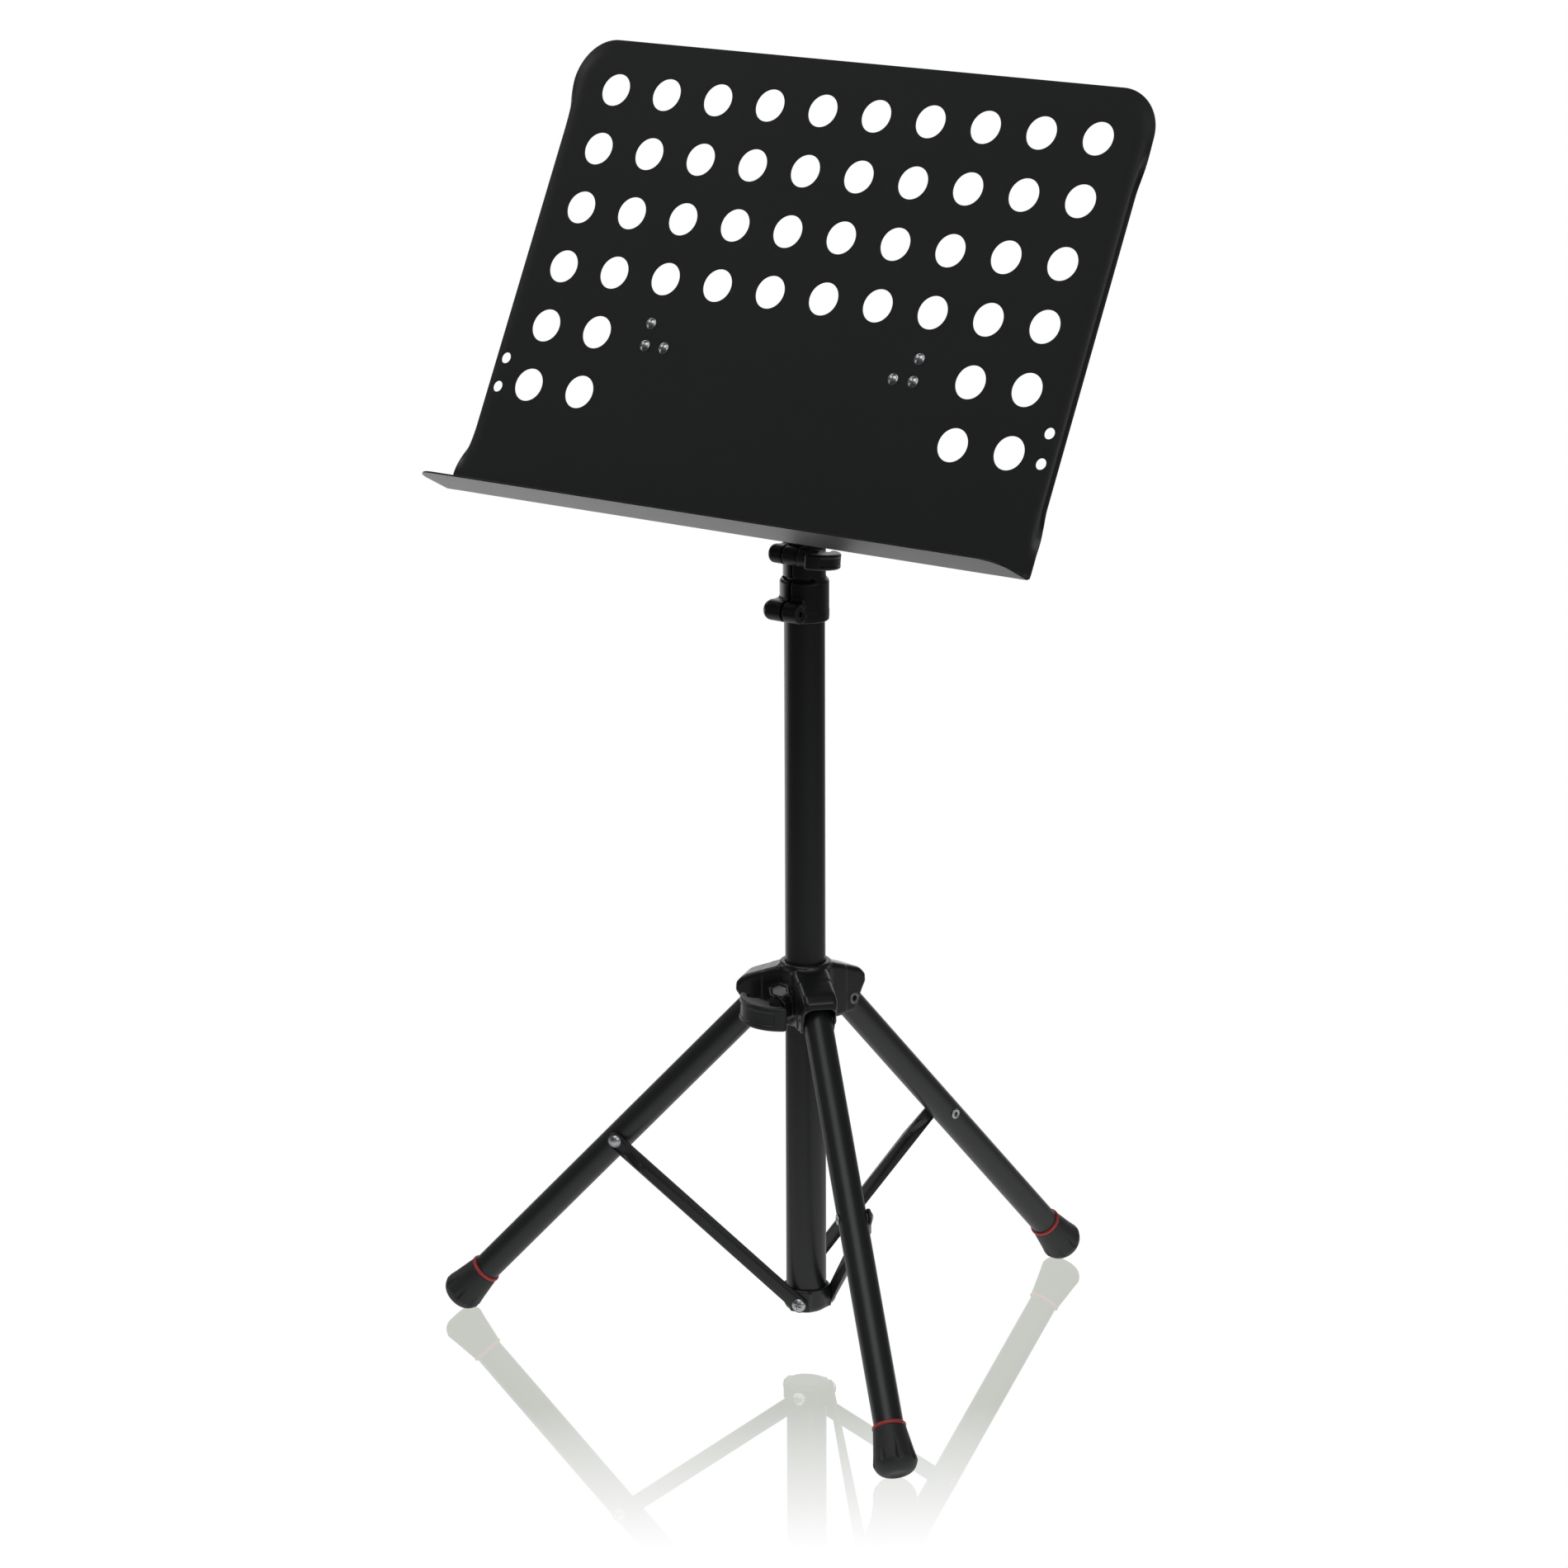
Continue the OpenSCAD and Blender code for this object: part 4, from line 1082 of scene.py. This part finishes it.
CORNER_U = HALF_BLANK - CORNER_R  # middle of the rounded top corner
CORNER_V = DESK_TOP - CORNER_R
STRIP_STEPS = 240
strip = np.linspace(0, HALF_FOOT - SOFT_FROM + 2, STRIP_STEPS)
soft_turn = SOFT_ANGLE * np.clip(strip / SOFT_W, 0, 1) ** 2
tight_turn = (math.pi / 2 - SOFT_ANGLE) * np.clip((strip - SOFT_W) / CURL_W, 0, 1)


def desk_bend(u, v):
    """The sides curve back softly and then tightly. The roll follows the top corners and dies away there."""
    out_u = np.clip(np.abs(u) - CORNER_U, 0, None)
    out_v = np.clip(v - CORNER_V, 0, None)
    out = np.hypot(out_u, out_v)
    to_u = out_u / np.maximum(out, 1e-9)
    to_v = out_v / np.maximum(out, 1e-9)
    corner = np.arctan2(out_v, out_u)
    foot = smoothstep((v - (DESK_LOW + 12)) / 38)
    soft = foot * (1 - smoothstep(corner / math.radians(85)))
    tight = foot * (1 - smoothstep((v - TIGHT_TO) / 44))
    angle = soft[:, None] * soft_turn[None, :] + tight[:, None] * tight_turn[None, :]
    step = strip[1]
    s = np.clip(out - (SOFT_FROM - CORNER_U), 0, strip[-1] - 1e-6)
    cell = np.minimum((s / step).astype(int), STRIP_STEPS - 2)
    part = s / step - cell
    rows = np.arange(len(v))

    def summed(slope):
        """The slope added up from the start of the soft curve to each point."""
        run = np.zeros(slope.shape)
        run[:, 1:] = np.cumsum((slope[:, 1:] + slope[:, :-1]) / 2, 1) * step
        return run[rows, cell] * (1 - part) + run[rows, cell + 1] * part

    pulled = s - summed(np.cos(angle))
    x = np.sign(u) * (np.abs(u) - to_u * pulled)
    y = SHEET_Y + summed(np.sin(angle))
    turned_by = np.clip((BEND_TOP - v) / BEND_LEN, 0, 1) * math.pi / 2
    low = v < BEND_TOP
    ledge = np.clip(BEND_TOP - BEND_LEN - v, 0, None)
    y = np.where(low, SHEET_Y - bend_mid * (1 - np.cos(turned_by)) - ledge, y)
    z = np.where(low, BEND_TOP - bend_mid * np.sin(turned_by), v - to_v * pulled)
    return np.stack((x, y, z), 1)


def desk_sheet():
    right = [
        (HALF_FOOT, V_FRONT, LEDGE_CORNER_R), (HALF_FOOT, DESK_LOW + 12, 20), (HALF_BLANK, DESK_LOW + 34, 20),
        (HALF_BLANK, DESK_TOP, CORNER_R)]
    left = [(-u, v, r) for u, v, r in reversed(right)]
    coarse = rounded(right + left, 24)
    outline = []
    for (ax, ay), (bx, by) in zip(coarse, coarse[1:] + coarse[:1]):
        pieces = max(1, int(math.hypot(bx - ax, by - ay) / 2.5))
        outline += [(ax + (bx - ax) * s / pieces, ay + (by - ay) * s / pieces) for s in range(pieces)]
    holes = []
    for row in range(ROWS):
        for column in range(COLUMNS):
            if row < FULL_ROWS or column < END_COLUMNS or column >= COLUMNS - END_COLUMNS:
                u = (column - (COLUMNS - 1) / 2) * PITCH_X
                holes.append(circle(u, FIRST_ROW - row * PITCH_Z, HOLE_R, 56))
    for s in (-1, 1):
        holes += [circle(s * CLIP_X, v, CLIP_R, 32) for v in CLIP_ROWS]
        holes += [circle(s * u, v, RIVET_R, 16) for u, v in RIVETS]
    curl_from = SOFT_FROM + SOFT_W
    across = np.concatenate((np.linspace(SOFT_FROM - 2, curl_from, 9), np.linspace(
        curl_from + 0.4, curl_from + CURL_W, 10), [curl_from + CURL_W + 3]))
    up = np.concatenate((np.arange(BEND_TOP + 1, BEND_TOP + 60, 1.6), np.arange(BEND_TOP + 63, TIGHT_TO, 6.0),
                         np.arange(TIGHT_TO, CORNER_V, 1.6)))
    fill = [(s * u, v) for s in (-1, 1) for u in across for v in up]
    fill += [(s * (CORNER_U + (u - CORNER_U) * math.cos(a)), CORNER_V + (u - CORNER_U) * math.sin(a))
             for s in (-1, 1) for u in across for a in np.linspace(0, math.pi / 2, 34)]
    fill += [(u, BEND_TOP - BEND_LEN * t / 6) for t in range(7) for u in np.linspace(-240, 240, 25)]
    fill += [(u, v) for v in (V_FRONT + 8, V_FRONT + 24) for u in np.linspace(-220, 220, 12)]
    return sheet_metal(outline, holes, fill, desk_bend, SHEET_T, 0.35)


piece("desk_plate", desk_sheet(), ON_DESK, "desk", "desk_black", 40)

rivets = Shape()
for s in (-1, 1):
    for u, v in RIVETS:
        front = shift(s * u, SHEET_Y - SHEET_T / 2, v) @ turn(90, "X")
        rivets.add(*turned(dome_outline(DESK_RIVET_HEAD_R, 2.0), 40), front)
        back = shift(s * u, SHEET_Y + SHEET_T / 2 + 2.0, v) @ TO_Y
        tail = rounded([(0.8, 0, 0), (3.3, 0, 0.1), (3.3, 0.7, 0.3), (2.6, 1.2, 0.4), (0.8, 0.8, 0.2)], 4)
        rivets.add(*turned(tail, 40), back)
        shank = shift(s * u, SHEET_Y - SHEET_T / 2 - 0.1, v) @ TO_Y
        rivets.add(*turned(shank_outline(RIVET_R, 3.4), 24), shank)
piece("desk_rivets", rivets, ON_DESK, "desk", "zinc_steel", 60)


# ---- desk brackets and crossbar ----

FOOT_IN = 87.0
FOOT_OUT = 123.0
FOOT_LOW = -13.0
FOOT_HIGH = 21.0
FOOT_T = 2.0
WEB_R = 12.5
foot_mid = SHEET_Y + SHEET_T / 2 + FOOT_T / 2
corner_mid = FOOT_T / 2 + 1.0     # middle radius of the bracket's bend
corner_len = corner_mid * math.pi / 2
foot_flat = FOOT_OUT - FOOT_IN - FOOT_T / 2 - corner_mid
bend_end = foot_flat + corner_len


def bracket_bend(u, v):
    """u runs across the foot from its outer end, round the bend and back along the web."""
    a = np.clip((u - foot_flat) / corner_len, 0, 1) * math.pi / 2
    x = FOOT_OUT - np.minimum(u, foot_flat) - corner_mid * np.sin(a)
    y = foot_mid + corner_mid * (1 - np.cos(a)) + np.maximum(u - bend_end, 0)
    return np.stack((x, y, v), 1)


def bracket():
    to_axis = bend_end - foot_mid - corner_mid
    outline = rounded([
        (0, FOOT_HIGH, 3), (0, FOOT_LOW, 3), (bend_end, FOOT_LOW, 3), (to_axis, -WEB_R, 0)], 5)
    outline += [(to_axis + WEB_R * math.cos(a), WEB_R * math.sin(a))
                for a in np.linspace(-math.pi / 2, math.pi / 2, 25)[1:-1]]
    outline += rounded([
        (to_axis, WEB_R, 0), (bend_end + 6, WEB_R, 8), (bend_end, FOOT_HIGH, 3), (0, FOOT_HIGH + 0.01, 0),
        (to_axis, 0, 0)], 5)[:-2]
    holes = [circle(FOOT_OUT - u, v, RIVET_R, 16) for u, v in RIVETS]
    holes.append(circle(to_axis, 0, BAR_R, 48))
    fill = [(bend_end * s / 5, v) for s in range(6) for v in np.linspace(FOOT_LOW + 1, FOOT_HIGH - 1, 6)]
    return sheet_metal(outline, holes, fill, bracket_bend, FOOT_T, 0.4)


mirror = Matrix.Diagonal((-1, 1, 1, 1))
right_bracket = bracket()
left_bracket = Shape().add(right_bracket.points, right_bracket.faces, mirror)
piece("desk_bracket_right", right_bracket, ON_DESK, "desk", "bracket_black", 50)
piece("desk_bracket_left", left_bracket, ON_DESK, "desk", "bracket_black", 50)

low, high = box_mm("crossbar")
place = frame_matrix(((low[0] + high[0]) / 2, TILT[1], TILT[2]), (0, 1, 0), (0, 0, 1), (1, 0, 0))
half_bar = (high[0] - low[0]) / 2
tube("crossbar", place, BAR_R, 2.0, -half_bar, half_bar, "desk", "bracket_black")


# ---- rivets that fix the tilt head ----

rivets = Shape()
for angle in (0, 180):
    at = turn(angle, "Z") @ shift(0, -SLEEVE_R, 670) @ turn(90, "X")
    rivets.add(*turned(dome_outline(4.2, 1.8), 40), at)
    rivets.add(*turned(shank_outline(SHANK_R, 2.9), 24), at @ shift(0, 0, -2.9))
piece("head_rivet", rivets, UPRIGHT, "mast", "zinc_steel", 60)


# ---- studio ----

VIEW_AZIMUTH = math.radians(36.5)
VIEW_RIGHT = Vector((math.cos(VIEW_AZIMUTH), math.sin(VIEW_AZIMUTH), 0))
VIEW_BACK = Vector((-math.sin(VIEW_AZIMUTH), math.cos(VIEW_AZIMUTH), 0))


# The floor is white to the camera, with a faint mirror image of the stand that fades towards the viewer.
# To the stand it glows as painted light that lights it from below: bright close by and behind, dim further
# out, most of all on the left.
FLOOR_HALF = 30.0
MIRROR_TINT = (0.442, 0.422, 0.467)
FADE_FROM = -0.37                 # along the view, where the mirror image has faded out
FADE_TO = -0.12
MIRROR_ROUGHNESS = 0.015
floor_material = bpy.data.materials.new("floor")
floor_material.use_nodes = True
tree = Nodes(floor_material.node_tree)
tree.nodes.clear()
where = tree.place()
to_back = tree.along(where, VIEW_BACK)
to_right = tree.along(where, VIEW_RIGHT)
image = tree.new("BsdfGlossy", Roughness=MIRROR_ROUGHNESS, Color=(*MIRROR_TINT, 1))
wet = tree.new("AddShader")
tree.links.new(image.outputs["BSDF"], wet.inputs[0])
tree.links.new(tree.emitting([1 - c for c in MIRROR_TINT]).outputs["Emission"], wet.inputs[1])
share = tree.ramp(to_back, FADE_FROM, FADE_TO, 0.0, 1.0)
seen = tree.mixed(share, tree.emitting().outputs["Emission"], wet.outputs["Shader"])
# the floor's glow: painted light for the stand, shaped by distance and side
glow = tree.emitting()
reach = tree.new("VectorMath")
reach.operation = "LENGTH"
tree.links.new(where, reach.inputs[0])
near = tree.ramp(reach.outputs["Value"], 0.2, 1.3, 0.95, 0.08)
side = tree.ramp(to_right, -0.9, 0.4, 0.5, 0.88)
behind = tree.ramp(to_back, 0.5, 0.9, 0.0, 1.4)
behind = tree.math("MULTIPLY", behind, tree.ramp(to_right, 0.45, 0.8, 1.0, 0.15))
strength = tree.math("MAXIMUM", tree.math("MULTIPLY", near, side), behind)
tree.links.new(strength, glow.inputs["Strength"])
by_camera = tree.new("LightPath").outputs["Is Camera Ray"]
floor_shader = tree.mixed(by_camera, glow.outputs["Emission"], seen)
tree.links.new(floor_shader, tree.new("OutputMaterial").inputs["Surface"])
mesh = bpy.data.meshes.new("floor")
corners = [(x * FLOOR_HALF, y * FLOOR_HALF, 0) for x, y in ((-1, -1), (1, -1), (1, 1), (-1, 1))]
mesh.from_pydata(corners, [], [(0, 1, 2, 3)])
mesh.materials.append(floor_material)
floor = bpy.data.objects.new("floor", mesh)
bpy.context.scene.collection.objects.link(floor)


def direction(azimuth, elevation):
    """Azimuth runs from the front towards the right."""
    a, e = math.radians(azimuth), math.radians(elevation)
    return Vector((math.sin(a) * math.cos(e), -math.cos(a) * math.cos(e), math.sin(e)))


world = bpy.data.worlds.new("studio")
bpy.context.scene.world = world
world.use_nodes = True
tree = Nodes(world.node_tree)
toward = tree.place("Generated")
AMBIENT = 0.09
# azimuth, elevation, half angle of the bright part and of the whole, radiance
SOFT_BOXES = (
    (209, 13, 27, 33, 1.0),       # the white wall behind the stand
    (60, 27, 5, 11, 3.2),         # a small bright box that draws the right edge of the desk
    (72, 25, 10, 40, 0.5),        # the key light, on the right
    (16, 68, 14, 28, 1.8),        # overhead
    (-82, 38, 6, 14, 3.0),        # a bright box on the left that draws the edges
)
light = AMBIENT
for azimuth, elevation, inner, outer, radiance in SOFT_BOXES:
    aim = tree.along(toward, direction(azimuth, elevation))
    edge, bright = math.cos(math.radians(outer)), math.cos(math.radians(inner))
    light = tree.math("MAXIMUM", tree.ramp(aim, edge, bright, 0.0, radiance), light)
to_camera = tree.new("LightPath").outputs["Is Camera Ray"]
background = tree.nodes["Background"]
tree.links.new(tree.math("MAXIMUM", light, to_camera), background.inputs["Strength"])
background.inputs["Color"].default_value = (1, 1, 1, 1)
bpy.context.scene.view_settings.view_transform = "Standard"


# ---- camera ----

CAMERA_AZIMUTH = 36.36            # degrees
CAMERA_RANGE = 3.654
CAMERA_HEIGHT = 1.4115
LOOK_AZIMUTH = 36.59
LOOK_PITCH = 15.21
LOOK_ROLL = math.radians(-0.22)
LENS = 124.03

camera_data = bpy.data.cameras.new("camera")
camera_data.lens = LENS
camera_data.sensor_width = 36
camera_data.clip_end = 200
camera = bpy.data.objects.new("camera", camera_data)
camera.location = Vector((0, 0, CAMERA_HEIGHT)) + direction(CAMERA_AZIMUTH, 0) * CAMERA_RANGE
forward = -direction(LOOK_AZIMUTH, LOOK_PITCH)
look = forward.to_track_quat("-Z", "Y").to_matrix() @ Matrix.Rotation(LOOK_ROLL, 3, "Z")
camera.rotation_euler = look.to_euler()
bpy.context.scene.collection.objects.link(camera)
bpy.context.scene.camera = camera
